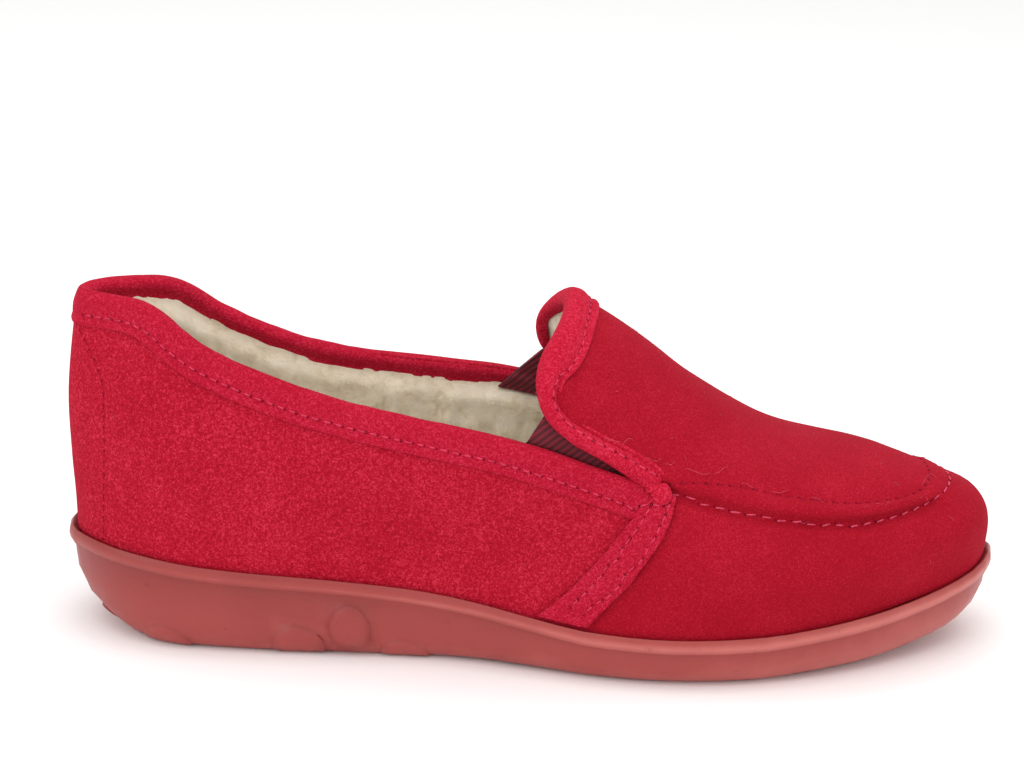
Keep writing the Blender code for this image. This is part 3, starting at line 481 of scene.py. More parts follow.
def thread(name, tones):
    """Spun polyester sewing thread: matt, with darker flecks where its strands turn under."""
    material, tree, shader, place = new_material(name, Roughness=0.9, Specular_IOR_Level=0.05)
    twist = add_node(tree, "ShaderNodeTexNoise", {"Scale": 1 / (1.1 * MM), "Detail": 2.0}, Vector=place)
    under = tuple(0.7 * c for c in tones[0][:3]) + (1.0,)
    color = add_node(tree, "ShaderNodeValToRGB", stops=((0.35, under), (0.6, tones[0])), Fac=(twist, "Fac"))
    tree.links.new(color.outputs["Color"], shader.inputs["Base Color"])
    return material


def studio_floor(name, tones):
    """Plain matt white paper sweep."""
    return new_material(name, Base_Color=tones[0], Roughness=0.9, Specular_IOR_Level=0.1)[0]


def tones_of(kind):
    """A finish's tones as linear colours, each moved as far as its own colour in the panel was."""
    codes = TONES[kind]
    own = linear(codes[min(1, len(codes) - 1)])
    chosen = getattr(bpy.context.scene.slipper_colors, kind, own)
    return [tuple(c * new / old for c, new, old in zip(linear(code), chosen, own)) for code in codes]


def material_of(kind):
    """Make each finish once."""
    if kind not in MATERIALS:
        pile = bpy.context.scene.slipper_finish.pile
        maker, name, *rest = {
            "velour": (velour, "brushed_velour", pile),
            "apron": (velour, "brushed_velour_apron", pile * 0.7, 0.16, 0.25),
            "binding": (velour, "brushed_velour_binding", pile * 0.9),
            "roll": (velour, "brushed_velour_roll", pile * 0.9),
            "rubber": (foam_rubber, "moulded_foam_rubber"),
            "fleece": (fleece, "wool_fleece"),
            "elastic": (ribbed_elastic, "woven_elastic"),
            "thread": (thread, "sewing_thread"),
            "thread_red": (thread, "sewing_thread_red"),
            "thread_dark": (thread, "sewing_thread_dark"),
            "lint": (thread, "lint_fibre"),
            "hole": (thread, "needle_hole"),
            "floor": (studio_floor, "paper_sweep"),
        }[kind]
        MATERIALS[kind] = maker(name, tones_of(kind), *rest)
    return MATERIALS[kind]


def pick_only(item):
    """Select one object, in object mode."""
    if bpy.context.object and bpy.context.object.mode != "OBJECT":
        bpy.ops.object.mode_set(mode="OBJECT")
    bpy.ops.object.select_all(action="DESELECT")
    bpy.context.view_layer.objects.active = item
    item.select_set(True)


def apply_modifier(item, name, kind, **settings):
    """Add a modifier with its settings and apply it."""
    pick_only(item)
    modifier = item.modifiers.new(name, kind)
    for key, value in settings.items():
        setattr(modifier, key, value)
    bpy.ops.object.modifier_apply(modifier=modifier.name)


def copy_of_node(node, name):
    """A merged copy of a CAD node, with its quads put back."""
    source = frame["nodes"][node]
    item = source.copy()
    item.data = source.data.copy()
    item.name = name
    item.data.name = name
    item.parent = None
    bpy.context.scene.collection.objects.link(item)
    item.hide_render = False
    item.hide_viewport = False
    item.hide_set(False)
    item.data.materials.clear()
    pick_only(item)
    bpy.ops.object.mode_set(mode="EDIT")
    bpy.ops.mesh.select_all(action="SELECT")
    bpy.ops.mesh.remove_doubles(threshold=0.02 * MM)
    bpy.ops.mesh.tris_convert_to_quads(face_threshold=math.radians(40), shape_threshold=math.radians(55))
    bpy.ops.object.mode_set(mode="OBJECT")
    return item


def crease_sharp(item, angle=SHARP):
    """Hold the edges between a wall and its rim through subdivision."""
    mesh = bmesh.new()
    mesh.from_mesh(item.data)
    layer = mesh.edges.layers.float.get("crease_edge") or mesh.edges.layers.float.new("crease_edge")
    for edge in mesh.edges:
        if len(edge.link_faces) == 2 and edge.calc_face_angle(0.0) > math.radians(angle):
            edge[layer] = 1.0
    mesh.to_mesh(item.data)
    mesh.free()


def finish_piece(item, kind, slot, *nodes, smooth=40):
    """Give a piece its finish, smooth shading, body and the CAD nodes that it stands for; its slot is not
    used.
    """
    item.data.materials.clear()
    item.data.materials.append(material_of(kind))
    pick_only(item)
    bpy.ops.object.shade_smooth_by_angle(angle=math.radians(smooth))
    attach(item, "root")
    if nodes:
        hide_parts(*nodes)


def tree_of(item):
    """Search tree over one piece's surface."""
    return BVHTree.FromObject(item, bpy.context.evaluated_depsgraph_get())


def new_mesh_object(name, verts, faces):
    """An object made of points and faces."""
    mesh = bpy.data.meshes.new(name)
    mesh.from_pydata([tuple(v) for v in verts], [], faces)
    mesh.update()
    item = bpy.data.objects.new(name, mesh)
    bpy.context.scene.collection.objects.link(item)
    return item


def face_out(item):
    """Turn the faces of closed shells outwards."""
    pick_only(item)
    bpy.ops.object.mode_set(mode="EDIT")
    bpy.ops.mesh.select_all(action="SELECT")
    bpy.ops.mesh.normals_make_consistent(inside=False)
    bpy.ops.object.mode_set(mode="OBJECT")


def rim_loops(item):
    """The outer and inner line of the upper's top edge, as ordered closed loops of points."""
    mesh = bmesh.new()
    mesh.from_mesh(item.data)
    tops = []
    for wall in parts_by_sharp(item)[:2]:
        joined = {}
        for edge in mesh.edges:
            if sum(face.index in wall for face in edge.link_faces) == 1:
                one, two = edge.verts
                joined.setdefault(one, []).append(two)
                joined.setdefault(two, []).append(one)
        loops = []
        seen = set()
        for start in joined:
            if start in seen:
                continue
            loop = []
            here = start
            while here is not None:
                seen.add(here)
                loop.append(here.co.copy())
                here = next((n for n in joined[here] if n not in seen), None)
            loops.append(loop)
        tops.append(max(loops, key=lambda loop: sum(p.z for p in loop) / len(loop)))
    mesh.free()
    tops.sort(key=lambda loop: min(p.x for p in loop))
    return tops


def resample(points, pitch, closed=False):
    """Even points along a polyline."""
    line = np.array([tuple(p) for p in points])
    if closed:
        line = np.vstack([line, line[:1]])
    run = np.concatenate([[0], np.cumsum(np.linalg.norm(np.diff(line, axis=0), axis=1))])
    count = max(2, int(round(run[-1] / pitch)) + 1)
    at = np.linspace(0, run[-1], count)
    out = np.stack([np.interp(at, run, line[:, k]) for k in range(3)], -1)
    if closed:
        out = out[:-1]
    return [Vector(p) for p in out]


def smooth_line(points, times=2):
    """A line with its corners rounded off and its two ends kept."""
    line = [p.copy() for p in points]
    for _ in range(times):
        inner = [0.25 * a + 0.5 * b + 0.25 * c for a, b, c in zip(line, line[1:], line[2:])]
        line = [line[0]] + inner + [line[-1]]
    return line


def tube_faces(count, size, base=0):
    """Faces over rings of as many points each, with both ends closed."""
    faces = []
    for i in range(count - 1):
        here = base + i * size
        for k in range(size):
            n = (k + 1) % size
            faces.append((here + k, here + n, here + size + n, here + size + k))
    faces.append(tuple(base + k for k in range(size))[::-1])
    faces.append(tuple(base + (count - 1) * size + k for k in range(size)))
    return faces


def seam_path(rows, side, surface, outward=0.0):
    """Table points laid on a surface from its outer side, as an even line."""
    line = smooth_line(resample([world(row, side) for row in rows], 1.0 * MM), 6)
    lift = Vector((0.0, -side * outward, 0.0))
    return smooth_line([surface.find_nearest(point + lift)[0] for point in line], 2)


def both_sides(rows):
    """A table of the outer side run on round the toe and back along the inner side."""
    outer = [world(row) for row in rows]
    inner = [world(row, -1) for row in rows[::-1]]
    return outer + inner


def lay_on(points, surface):
    """A line laid on a surface at its nearest points, as an even line."""
    line = smooth_line(resample(points, 1.0 * MM), 4)
    return smooth_line([surface.find_nearest(point)[0] for point in line], 1)


def stitch_mesh(name, paths, surface, length, gap, radius, slant, seed):
    """Rows of short stitches: one rounded capsule copied along each line, sunk a little at both ends."""
    rng = np.random.default_rng(seed)
    verts = []
    faces = []
    for path in paths:
        line = resample(path, (length + gap) / 2)
        for i in range(0, len(line) - 2, 2):
            if rng.random() < MISSED_STITCHES:
                continue
            start = line[i]
            end = line[i + 1] + (line[i + 2] - line[i + 1]) * ((length - gap) / (length + gap))
            middle = 0.5 * (start + end)
            place, normal, _, _ = surface.find_nearest(middle)
            place = middle + normal * (place - middle).dot(normal)
            along = (end - start).normalized() * length
            across = normal.cross(along).normalized()
            along = (along + across * slant * length).normalized() * length * float(rng.uniform(0.9, 1.08))
            across = normal.cross(along).normalized()
            wide = radius * float(rng.uniform(0.85, 1.15))
            faces += tube_faces(len(STITCH_STATIONS), STITCH_SECTION, len(verts))
            for share, swell, drop in zip(STITCH_STATIONS, STITCH_SWELL, STITCH_DROP):
                centre = place + along * share + normal * (drop * radius)
                for k in range(STITCH_SECTION):
                    angle = 2 * math.pi * k / STITCH_SECTION
                    round_it = across * math.cos(angle) + normal * math.sin(angle)
                    verts.append(centre + round_it * wide * swell)
    item = new_mesh_object(name, verts, faces)
    face_out(item)
    return item


def rolled_band(name, path, ways, widths, surface, section, tips):
    """A folded binding: its section is swept along an edge, on the wall outside, over and inside.

    ways gives for each point the way down the wall and the way out of it, and widths the share of
    the section's depth. A section row is (distance down the wall, distance out from its middle), in
    millimetres. tips is the number of points over which each end rounds off.
    """
    verts = []
    size = len(section)
    count = len(path)
    for i, (point, (below, out)) in enumerate(zip(path, ways)):
        ring = []
        sunk = CUT_TUCK * min(1.0, max(0.0, (TUCK_FROM - widths[i]) / TUCK_OVER))
        plump = float(np.interp(station(point), *HEEL_PLUMP))
        for deep, off in section:
            if deep > CUT_EDGE and off > 0:
                off -= sunk
            if off > WALL_HALF:
                off = WALL_HALF + (off - WALL_HALF) * plump
            down = deep * (widths[i] if deep > 0 else 1.0)
            base = point + below * down * MM
            if down > LAID_FROM:
                turn = math.copysign(1.0, off)
                place = surface.find_nearest(base + out * (PROBE[off > 0] * turn))[0]
                wall = (place - base).dot(out)
                ring.append(base + out * (wall + (off - turn * WALL_FACE) * MM))
            else:
                ring.append(base + out * off * MM)
        left = min(i, count - 1 - i)
        if left < tips:
            middle = sum(ring, Vector()) / size
            share = math.sqrt(1 - (1 - (left + 0.35) / tips) ** 2)
            ring = [middle + (p - middle) * share for p in ring]
        verts += ring
    item = new_mesh_object(name, verts, tube_faces(count, size))
    face_out(item)
    return item


def laid_roll(name, rows, side, surface, height):
    """A padded roll laid on the cloth, half round, with a half width in millimetres for each point."""
    spots = [world(row, side) for row in rows]
    path = smooth_line(resample(spots, 0.8 * MM), 3)
    runs = np.concatenate([[0], np.cumsum([(b - a).length for a, b in zip(spots, spots[1:])])])
    here = 0.0
    verts = []
    count = len(path)
    for i, point in enumerate(path):
        place, normal, _, _ = surface.find_nearest(point + Vector((0.0, -side * 3 * MM, 0.0)))
        along = (path[min(i + 1, count - 1)] - path[max(i - 1, 0)]).normalized()
        across = normal.cross(along).normalized()
        wide = float(np.interp(here, runs, [row[3] for row in rows])) * MM
        left = min(i, count - 1 - i)
        round_off = math.sqrt(1 - max(0.0, 1 - (left + 0.3) / 3) ** 2)
        for k in range(KNOB_POINTS):
            angle = math.pi * k / (KNOB_POINTS - 1)
            verts.append(place + across * math.cos(angle) * wide * round_off
                         + normal * (math.sin(angle) * height * round_off - KNOB_SUNK) * MM)
        verts.append(place - normal * KNOB_ROOT * MM)
        if i + 1 < count:
            here += (path[i + 1] - point).length
    item = new_mesh_object(name, verts, tube_faces(count, KNOB_POINTS + 1))
    face_out(item)
    return item


def joined_tree(*items):
    """One search tree over the surfaces of several pieces."""
    verts = []
    polygons = []
    for item in items:
        base = len(verts)
        verts += [v.co.copy() for v in item.data.vertices]
        polygons += [tuple(base + v for v in p.vertices) for p in item.data.polygons]
    return BVHTree.FromPolygons(verts, polygons)


def cad_upper():
    """The CAD upper's rim lines and its surface, measured once on a merged copy."""
    if "tree" not in SHARED:
        item = copy_of_node("upper", "measuring_copy")
        outer, inner = rim_loops(item)
        apply_modifier(item, "even", "SUBSURF", levels=1, render_levels=1, subdivision_type="SIMPLE")
        SHARED["tree"] = tree_of(item)
        SHARED["outer"] = outer
        SHARED["inner"] = inner
        bpy.data.objects.remove(item, do_unlink=True)
    return SHARED


def rim_part(flap):
    """Middle points of the collar's or the flap's part of the upper's rim, and their ways out of the wall."""
    outer = cad_upper()["outer"]
    count = len(outer)
    low, high = sorted(min(range(count), key=lambda i: (outer[i] - world(SLOT_END, side)).length)
                       for side in (1, -1))
    one = list(range(low, high + 1))
    two = list(range(high, count)) + list(range(0, low + 1))
    heel_first = min(outer[i].x for i in one) < min(outer[i].x for i in two)
    part = [outer[i] for i in (two if heel_first == flap else one)]
    if part[0].y > part[-1].y:
        part = part[::-1]
    mates = [min(cad_upper()["inner"], key=lambda q: (q - point).length) for point in part]
    return ([0.5 * (point + mate) for point, mate in zip(part, mates)],
            [(point - mate).normalized() for point, mate in zip(part, mates)])


def edge_part(flap):
    """Even points along the collar's or the flap's edge, each with its ways down and out of the wall."""
    source, outward = rim_part(flap)
    middles = resample(source, EDGE_PITCH)
    ways = []
    for point in middles:
        gaps = [(spot - point).length for spot in source]
        near, next_near = sorted(range(len(source)), key=gaps.__getitem__)[:2]
        mix = outward[near] * (gaps[next_near] + 1e-6) + outward[next_near] * (gaps[near] + 1e-6)
        ways.append(mix.normalized())
    middles = smooth_line(middles, 4)
    ways = [w.normalized() for w in smooth_line(ways, 8)]
    sides = []
    for i, way in enumerate(ways):
        along = (middles[min(i + 1, len(middles) - 1)] - middles[max(i - 1, 0)]).normalized()
        out = (way - along * way.dot(along)).normalized()
        sides.append((along.cross(out).normalized(), out))
    half = len(middles) // 2
    tree = cad_upper()["tree"]
    step = sides[half][0] * EDGE_PROBE
    ahead, behind = [tree.find_nearest(middles[half] + sign * step)[3] for sign in (1, -1)]
    turn = 1.0 if ahead < behind else -1.0
    return middles, [(turn * below, out) for below, out in sides]


def offset_line(middles, frames, deep, surface, widths):
    """A line on a surface at a distance from the edge."""
    out = []
    for point, (below, way), share in zip(middles, frames, widths):
        base = point + below * deep * share * MM + way * PROBE[1]
        out.append(surface.find_nearest(base)[0])
    return smooth_line(out, 2)


def push(item, amount, scale, seed):
    """Move vertices along their normals by soft noise, so that cloth isn't machine-flat."""
    mesh = item.data
    fresh = []
    for vertex in mesh.vertices:
        at = vertex.co / scale + Vector((seed, seed * 1.7, seed * 0.3))
        value = noise.noise(at) + 0.5 * noise.noise(at * 2.1)
        fresh.append(vertex.co + vertex.normal * value * amount)
    for vertex, place in zip(mesh.vertices, fresh):
        vertex.co = place
    mesh.update()


def trough(item, line, depth, reach, side_lift=0.0, toe_share=1.0):
    """Sink a soft groove along a line, with the cloth puffed up a little beside it, less so at the toe."""
    mesh = item.data
    points = np.array([tuple(p) for p in resample(line, 1.0 * MM)])
    co = np.empty(len(mesh.vertices) * 3)
    mesh.vertices.foreach_get("co", co)
    co = co.reshape(-1, 3)
    no = np.array([v.normal[:] for v in mesh.vertices])
    low = points.min(axis=0) - 4 * reach
    high = points.max(axis=0) + 4 * reach
    near = np.nonzero(((co > low) & (co < high)).all(axis=1))[0]
    for chunk in np.array_split(near, max(1, len(near) // 2000)):
        gaps = np.linalg.norm(co[chunk][:, None, :] - points[None, :, :], axis=2)
        gap = gaps.min(axis=1)
        stations = points[gaps.argmin(axis=1), 0] / MM + MIDDLE_X
        strength = np.interp(stations, TOE_FADE, (1.0, toe_share))
        sink = -depth * np.exp(-(gap / reach) ** 2)
        puff = side_lift * np.exp(-((gap - PUFF_AT * reach) / (PUFF_WIDTH * reach)) ** 2)
        co[chunk] += no[chunk] * (strength * (sink + puff))[:, None]
    mesh.vertices.foreach_set("co", co.reshape(-1))
    mesh.update()


def soften_toe(item):
    """Press the apron's fold flatter at the tip of the toe, where the cloth is pulled tight."""
    mesh = bmesh.new()
    mesh.from_mesh(item.data)
    tip = Vector(((TOE_TIP[0] - MIDDLE_X) * MM, 0.0, TOE_TIP[1] * MM))
    near = [v for v in mesh.verts if (v.co - tip).length < TOE_TIP[2] * MM and not v.is_boundary]
    for _ in range(TOE_PASSES):
        bmesh.ops.smooth_vert(mesh, verts=near, factor=0.5, use_axis_x=True, use_axis_y=True,
                              use_axis_z=True)
    mesh.to_mesh(item.data)
    mesh.free()


def refine_near(item, line, reach):
    """Subdivide the faces beside a seam, so that its groove has room."""
    points = np.array([tuple(p) for p in resample(line, 2.0 * MM)])
    pick_only(item)
    mesh = item.data
    centres = np.array([p.center[:] for p in mesh.polygons])
    low = points.min(axis=0) - reach
    high = points.max(axis=0) + reach
    inside = np.nonzero(((centres > low) & (centres < high)).all(axis=1))[0]
    chosen = set()
    for chunk in np.array_split(inside, max(1, len(inside) // 2000)):
        gap = np.linalg.norm(centres[chunk][:, None, :] - points[None, :, :], axis=2).min(axis=1)
        chosen.update(int(i) for i in chunk[gap < reach])
    bpy.ops.object.mode_set(mode="EDIT")
    bpy.ops.mesh.select_mode(type="FACE")
    bpy.ops.mesh.select_all(action="DESELECT")
    bpy.ops.object.mode_set(mode="OBJECT")
    for polygon in mesh.polygons:
        polygon.select = polygon.index in chosen
    bpy.ops.object.mode_set(mode="EDIT")
    bpy.ops.mesh.subdivide(number_cuts=1, smoothness=0.0)
    bpy.ops.object.mode_set(mode="OBJECT")


def parts_by_sharp(item):
    """Face sets of a shell that its sharp rims divide, largest first."""
    mesh = bmesh.new()
    mesh.from_mesh(item.data)
    mesh.faces.ensure_lookup_table()
    seen = set()
    groups = []
    for face in mesh.faces:
        if face.index in seen:
            continue
        stack = [face]
        seen.add(face.index)
        group = []
        while stack:
            here = stack.pop()
            group.append(here.index)
            for edge in here.edges:
                if len(edge.link_faces) == 2 and edge.calc_face_angle(0.0) > math.radians(SHARP):
                    continue
                for other in edge.link_faces:
                    if other.index not in seen:
                        seen.add(other.index)
                        stack.append(other)
        groups.append((sum(mesh.faces[i].calc_area() for i in group), group))
    mesh.free()
    groups.sort(reverse=True)
    return [set(group) for _, group in groups]


def keep_faces(item, keep):
    """Delete all faces but those of the given numbers."""
    mesh = bmesh.new()
    mesh.from_mesh(item.data)
    mesh.faces.ensure_lookup_table()
    gone = [f for f in mesh.faces if f.index not in keep]
    bmesh.ops.delete(mesh, geom=gone, context="FACES")
    mesh.to_mesh(item.data)
    mesh.free()


def needle_holes(name, lines, surface, pitch, radius):
    """Small dimples where the thread goes in, as shallow discs laid on the cloth, coloured dark as painted
    shade inside the holes.
    """
    rng = np.random.default_rng(1)
    verts = []
    faces = []
    for line in lines:
        for point in resample(line, pitch)[::2]:
            place, normal, _, _ = surface.find_nearest(point)
            side = normal.orthogonal().normalized()
            other = normal.cross(side)
            wide = radius * float(rng.uniform(0.8, 1.15))
            base = len(verts)
            verts.append(place - normal * HOLE_DIP)
            for k in range(HOLE_SECTION):
                angle = 2 * math.pi * k / HOLE_SECTION
                round_it = side * math.cos(angle) + other * math.sin(angle)
                verts.append(place + normal * HOLE_RIM + round_it * wide)
            verts.append(place - normal * HOLE_UNDER)
            for k in range(HOLE_SECTION):
                n = (k + 1) % HOLE_SECTION
                faces.append((base, base + 1 + k, base + 1 + n))
                faces.append((base + HOLE_SECTION + 1, base + 1 + n, base + 1 + k))
    return new_mesh_object(name, verts, faces)


def hair_mesh(name, strands, radius):
    """Many thin threads as one mesh: each follows its own points as a three-sided tube that tapers."""
    verts = []
    faces = []
    for points in strands:
        last = len(points) - 1
        faces += tube_faces(len(points), HAIR_SECTION, len(verts))
        for i, point in enumerate(points):
            along = (points[min(i + 1, last)] - points[max(i - 1, 0)]).normalized()
            side = along.orthogonal().normalized()
            other = along.cross(side)
            wide = radius * (1.0 if i < last else 0.35)
            for k in range(HAIR_SECTION):
                angle = 2 * math.pi * k / HAIR_SECTION
                verts.append(point + (side * math.cos(angle) + other * math.sin(angle)) * wide)
    return new_mesh_object(name, verts, faces)


def curled_strand(start, normal, along, length, curl, lift, rng, steps):
    """Points of one hair that leaves the cloth and curls over."""
    across = normal.cross(along).normalized()
    turn = float(rng.uniform(0, 6.28))
    points = [start - normal * 0.2 * MM]
    for i in range(1, steps + 1):
        t = i / steps
        bend = curl * math.sin(turn + 3.6 * t) - curl * math.sin(turn)
        rise = lift * math.sin(math.pi * min(1.0, 0.15 + 0.75 * t))
        points.append(start + along * length * t + across * bend + normal * rise)
    return points


def size_property(name, description, default, low, high):
    """A size in millimetres for the panel."""
    return bpy.props.FloatProperty(name=name, description=description, default=default, min=low, max=high)


def color_property(kind, description):
    """A finish's own colour for the panel."""
    return bpy.props.FloatVectorProperty(name=kind.capitalize(), description=description, subtype="COLOR",
                                         size=4, min=0.0, max=1.0, default=linear(TONES[kind][1]))


class SlipperFinish(bpy.types.PropertyGroup):
    """Sizes of the nap, the pile and the thread"""
    pile: size_property("Velour pile", "Width of the nap's tufts in millimetres", 0.55, 0.2, 2.0)
    stitch_length: size_property("Stitch length", "Length of a seam stitch in millimetres", 2.3, 1.0, 6.0)
    saddle_length: size_property("Apron stitch length", "Length of an apron seam stitch in millimetres",
                                 3.1, 1.0, 8.0)
    thread_radius: size_property("Thread radius", "Radius of the thread in millimetres", 0.22, 0.05, 0.8)
    fleece_depth: size_property("Fleece depth", "Depth of the wool pile in millimetres", 3.6, 1.0, 8.0)
    fleece_hairs: bpy.props.IntProperty(name="Fleece hairs",
                                        description="Number of loose hairs on the wool pile",
                                        default=5200, min=0, max=9000)


class SlipperColors(bpy.types.PropertyGroup):
    """Own colour of each finish, which its other tones follow"""
    velour: color_property("velour", "Quarters of the upper")
    apron: color_property("apron", "Vamp, apron and instep flap")
    binding: color_property("binding", "Collar's fold and side strips")
    roll: color_property("roll", "Flap's roll")
    rubber: color_property("rubber", "Moulded sole")
    fleece: color_property("fleece", "Wool lining")
    elastic: color_property("elastic", "Gores in the side slots")


class SLIPPER_OT_upper(bpy.types.Operator):
    """Velour upper: the CAD shell made smooth, with the apron seam's groove and soft unevenness"""
    bl_idname = "slipper.upper"
    bl_label = "Velour upper"

    def execute(self, context):
        item = copy_of_node("upper", "velour_upper")
        crease_sharp(item)
        apply_modifier(item, "smooth", "SUBSURF", levels=2, render_levels=2)
        surface = tree_of(item)
        seam = lay_on(both_sides(APRON_SEAM), surface)
        fold = lay_on(both_sides(FOLD_EDGE), surface)
        refine_near(item, seam, 3.5 * MM)
        push(item, 0.5 * MM, 26 * MM, 3.0)
        trough(item, seam, 1.5 * MM, 1.3 * MM, 0.4 * MM, TOE_GROOVE)
        trough(item, fold, 0.35 * MM, 1.2 * MM)
        soften_toe(item)
        finish_piece(item, "velour", "velour", "upper", smooth=60)
        item.data.materials.append(material_of("apron"))
        for polygon in item.data.polygons:
            if in_front_of_strip(polygon.center):
                polygon.material_index = 1
        SHARED["velour"] = tree_of(item)
        SHARED["velour_item"] = item
        SHARED["seam"] = seam
        SHARED["fold"] = fold
        return {"FINISHED"}


def run_on(middles, ways, step, times):
    """An edge and its ways, run on in line at both ends by some steps of a given length."""
    first = (middles[0] - middles[1]).normalized() * step
    last = (middles[-1] - middles[-2]).normalized() * step
    before = [middles[0] + n * first for n in range(times, 0, -1)]
    after = [middles[-1] + n * last for n in range(1, times + 1)]
    return before + middles + after, [ways[0]] * times + ways + [ways[-1]] * times


class SLIPPER_OT_bindings(bpy.types.Operator):
    """Folded velour bindings: rolled over the collar's edge and over the instep flap's edge"""
    bl_idname = "slipper.bindings"
    bl_label = "Folded bindings"

    def execute(self, context):
        tree = cad_upper()["tree"]
        middles, ways = run_on(*edge_part(False), 1.2 * MM, 1)
        self.fold("collar_fold", middles, ways, [1.0] * len(middles), tree, COLLAR_SECTION, 0, "binding", 2.0,
                  "collar_binding")
        middles, ways = run_on(*edge_part(True), 1.3 * MM, 2)
        widths = [float(np.interp(p.z / MM, *FLAP_WIDTHS)) for p in middles]
        self.fold("flap_fold", middles, ways, widths, tree, FLAP_SECTION, 3, "roll", 5.0, "flap_binding")
        return {"FINISHED"}

    def fold(self, name, middles, ways, widths, tree, section, tips, kind, seed, node):
        """Roll one binding and leave its edge and surface for the stitches."""
        item = rolled_band(name, middles, ways, widths, tree, section, tips)
        apply_modifier(item, "smooth", "SUBSURF", levels=1, render_levels=1)
        push(item, 0.25 * MM, 9 * MM, seed)
        finish_piece(item, kind, "velour_binding", node, smooth=60)
        SHARED[name] = (middles, ways, joined_tree(item, SHARED["velour_item"]), widths)


class SLIPPER_OT_strips(bpy.types.Operator):
    """Side strips: a band of velour from the slot to the sole on each side"""
    bl_idname = "slipper.strips"
    bl_label = "Side strips"

    def execute(self, context):
        for side, node in ((1, "side_strip_outer"), (-1, "side_strip_inner")):
            item = copy_of_node(node, node.replace("side_strip", "velour_strip"))
            crease_sharp(item)
            apply_modifier(item, "smooth", "SUBSURF", levels=3, render_levels=3)
            push(item, 0.35 * MM, 7 * MM, 1.0 + side)
            for rows in STRIP_ROWS:
                line = seam_path(rows, side, tree_of(item), STRIP_LIFT)
                trough(item, line, 0.5 * MM, 0.7 * MM)
            finish_piece(item, "binding", "velour_binding", node, smooth=60)
            SHARED[node] = tree_of(item)
            under = joined_tree(item, SHARED["velour_item"])
            bridge = seam_path(BRIDGE_ROW, side, under, STRIP_LIFT)
            SHARED["bridge"] = SHARED.get("bridge", []) + [(bridge, under)]
            knob = laid_roll(node.replace("side_strip", "roll_end"), KNOB, side, under, KNOB_HEIGHT)
            apply_modifier(knob, "smooth", "SUBSURF", levels=2, render_levels=2)
            push(knob, 0.25 * MM, 5 * MM, 4.0)
            finish_piece(knob, "roll", "velour_binding", smooth=60)
        return {"FINISHED"}


def darken_slot_tip(name, side, surfaces):
    """A dark sheet of the elastic, hung across the slot's tip and laid over the inner faces of both folds, as
    painted shade in the open slot.
    """
    (top_back, low_back), (top_front, low_front) = [[world(p, side) for p in edge] for edge in SLOT_SHADE_CORNERS]
    outward = Vector((0.0, -side, 0.0))
    verts = []
    for i in range(SLOT_SHADE_STEPS + 1):
        top = top_back.lerp(top_front, i / SLOT_SHADE_STEPS)
        low = low_back.lerp(low_front, i / SLOT_SHADE_STEPS)
        for k in range(SLOT_SHADE_STEPS + 1):
            spot = top.lerp(low, k / SLOT_SHADE_STEPS)
            start = Vector((spot.x, 0.0, spot.z))
            hits = [surface.ray_cast(start, outward)[3] for surface in surfaces]
            reach = min([abs(spot.y)] + [hit - GORE_GAP for hit in hits if hit is not None])
            verts.append(start + outward * reach)
    row = SLOT_SHADE_STEPS + 1
    faces = [(i * row + k, i * row + k + 1, (i + 1) * row + k + 1, (i + 1) * row + k)
             for i in range(SLOT_SHADE_STEPS) for k in range(SLOT_SHADE_STEPS)]
    return new_mesh_object(name, verts, faces)


def clear_of_folds(item, side, surfaces):
    """Move an elastic inward where the inner fold of a binding would stand through it."""
    outward = Vector((0.0, -side, 0.0))
    for vertex in item.data.vertices:
        start = Vector((vertex.co.x, 0.0, vertex.co.z))
        hits = [surface.ray_cast(start, outward)[3] for surface in surfaces]
        limit = min([hit for hit in hits if hit is not None], default=1.0) - GORE_GAP
        back = abs(vertex.co.y) + (GORE_WALL if vertex.normal.dot(outward) < 0 else 0.0)
        vertex.co -= outward * min(max(0.0, back - limit), GORE_GIVE)


class SLIPPER_OT_gores(bpy.types.Operator):
    """Elastic gores inside the side slots"""
    bl_idname = "slipper.gores"
    bl_label = "Elastic gores"

    def execute(self, context):
        folds = (SHARED["collar_fold"][2], SHARED["flap_fold"][2])
        for side, node in ((1, "gore_outer"), (-1, "gore_inner")):
            item = copy_of_node(node, node.replace("gore", "elastic"))
            crease_sharp(item)
            apply_modifier(item, "smooth", "SUBSURF", levels=3, render_levels=3)
            clear_of_folds(item, side, folds)
            finish_piece(item, "elastic", "elastic", node)
        # Dark sheets of the elastic across the slots' tips: painted shade in the open slots
        for side, name in ((1, "slot_shade_sheet_outer"), (-1, "slot_shade_sheet_inner")):
            item = darken_slot_tip(name, side, folds)
            apply_modifier(item, "smooth", "SUBSURF", levels=1, render_levels=1)
            apply_modifier(item, "body", "SOLIDIFY", thickness=SLOT_SHADE_THICK, offset=0.0)
            finish_piece(item, "elastic", "elastic")
        return {"FINISHED"}


def distance_to(line, point):
    """Distance in metres from a point to the nearest point of a line kept as an array."""
    return float(np.linalg.norm(line - np.array(point[:]), axis=1).min())


def grow_pile(item, rim, depth):
    """Raise a lining's faces into clumps of pile, thin along the collar's edge and full further in."""
    fresh = []
    for vertex in item.data.vertices:
        start = FLEECE_START[in_front_of_strip(vertex.co)]
        rise = min(1.0, max(0.0, (distance_to(rim, vertex.co) / MM - start) / FLEECE_RISE))
        rise = rise * rise * (3 - 2 * rise)
        at = vertex.co / (7 * MM)
        clump = noise.noise(at) + 0.6 * noise.noise(at * 2.3)
        curl = noise.noise(at * 5.0)
        thick = max(0.2, 0.25 + rise * (depth + 1.3 * clump + 0.5 * curl))
        fresh.append(vertex.co + vertex.normal * thick * MM)
    for vertex, place in zip(item.data.vertices, fresh):
        vertex.co = place
    item.data.update()


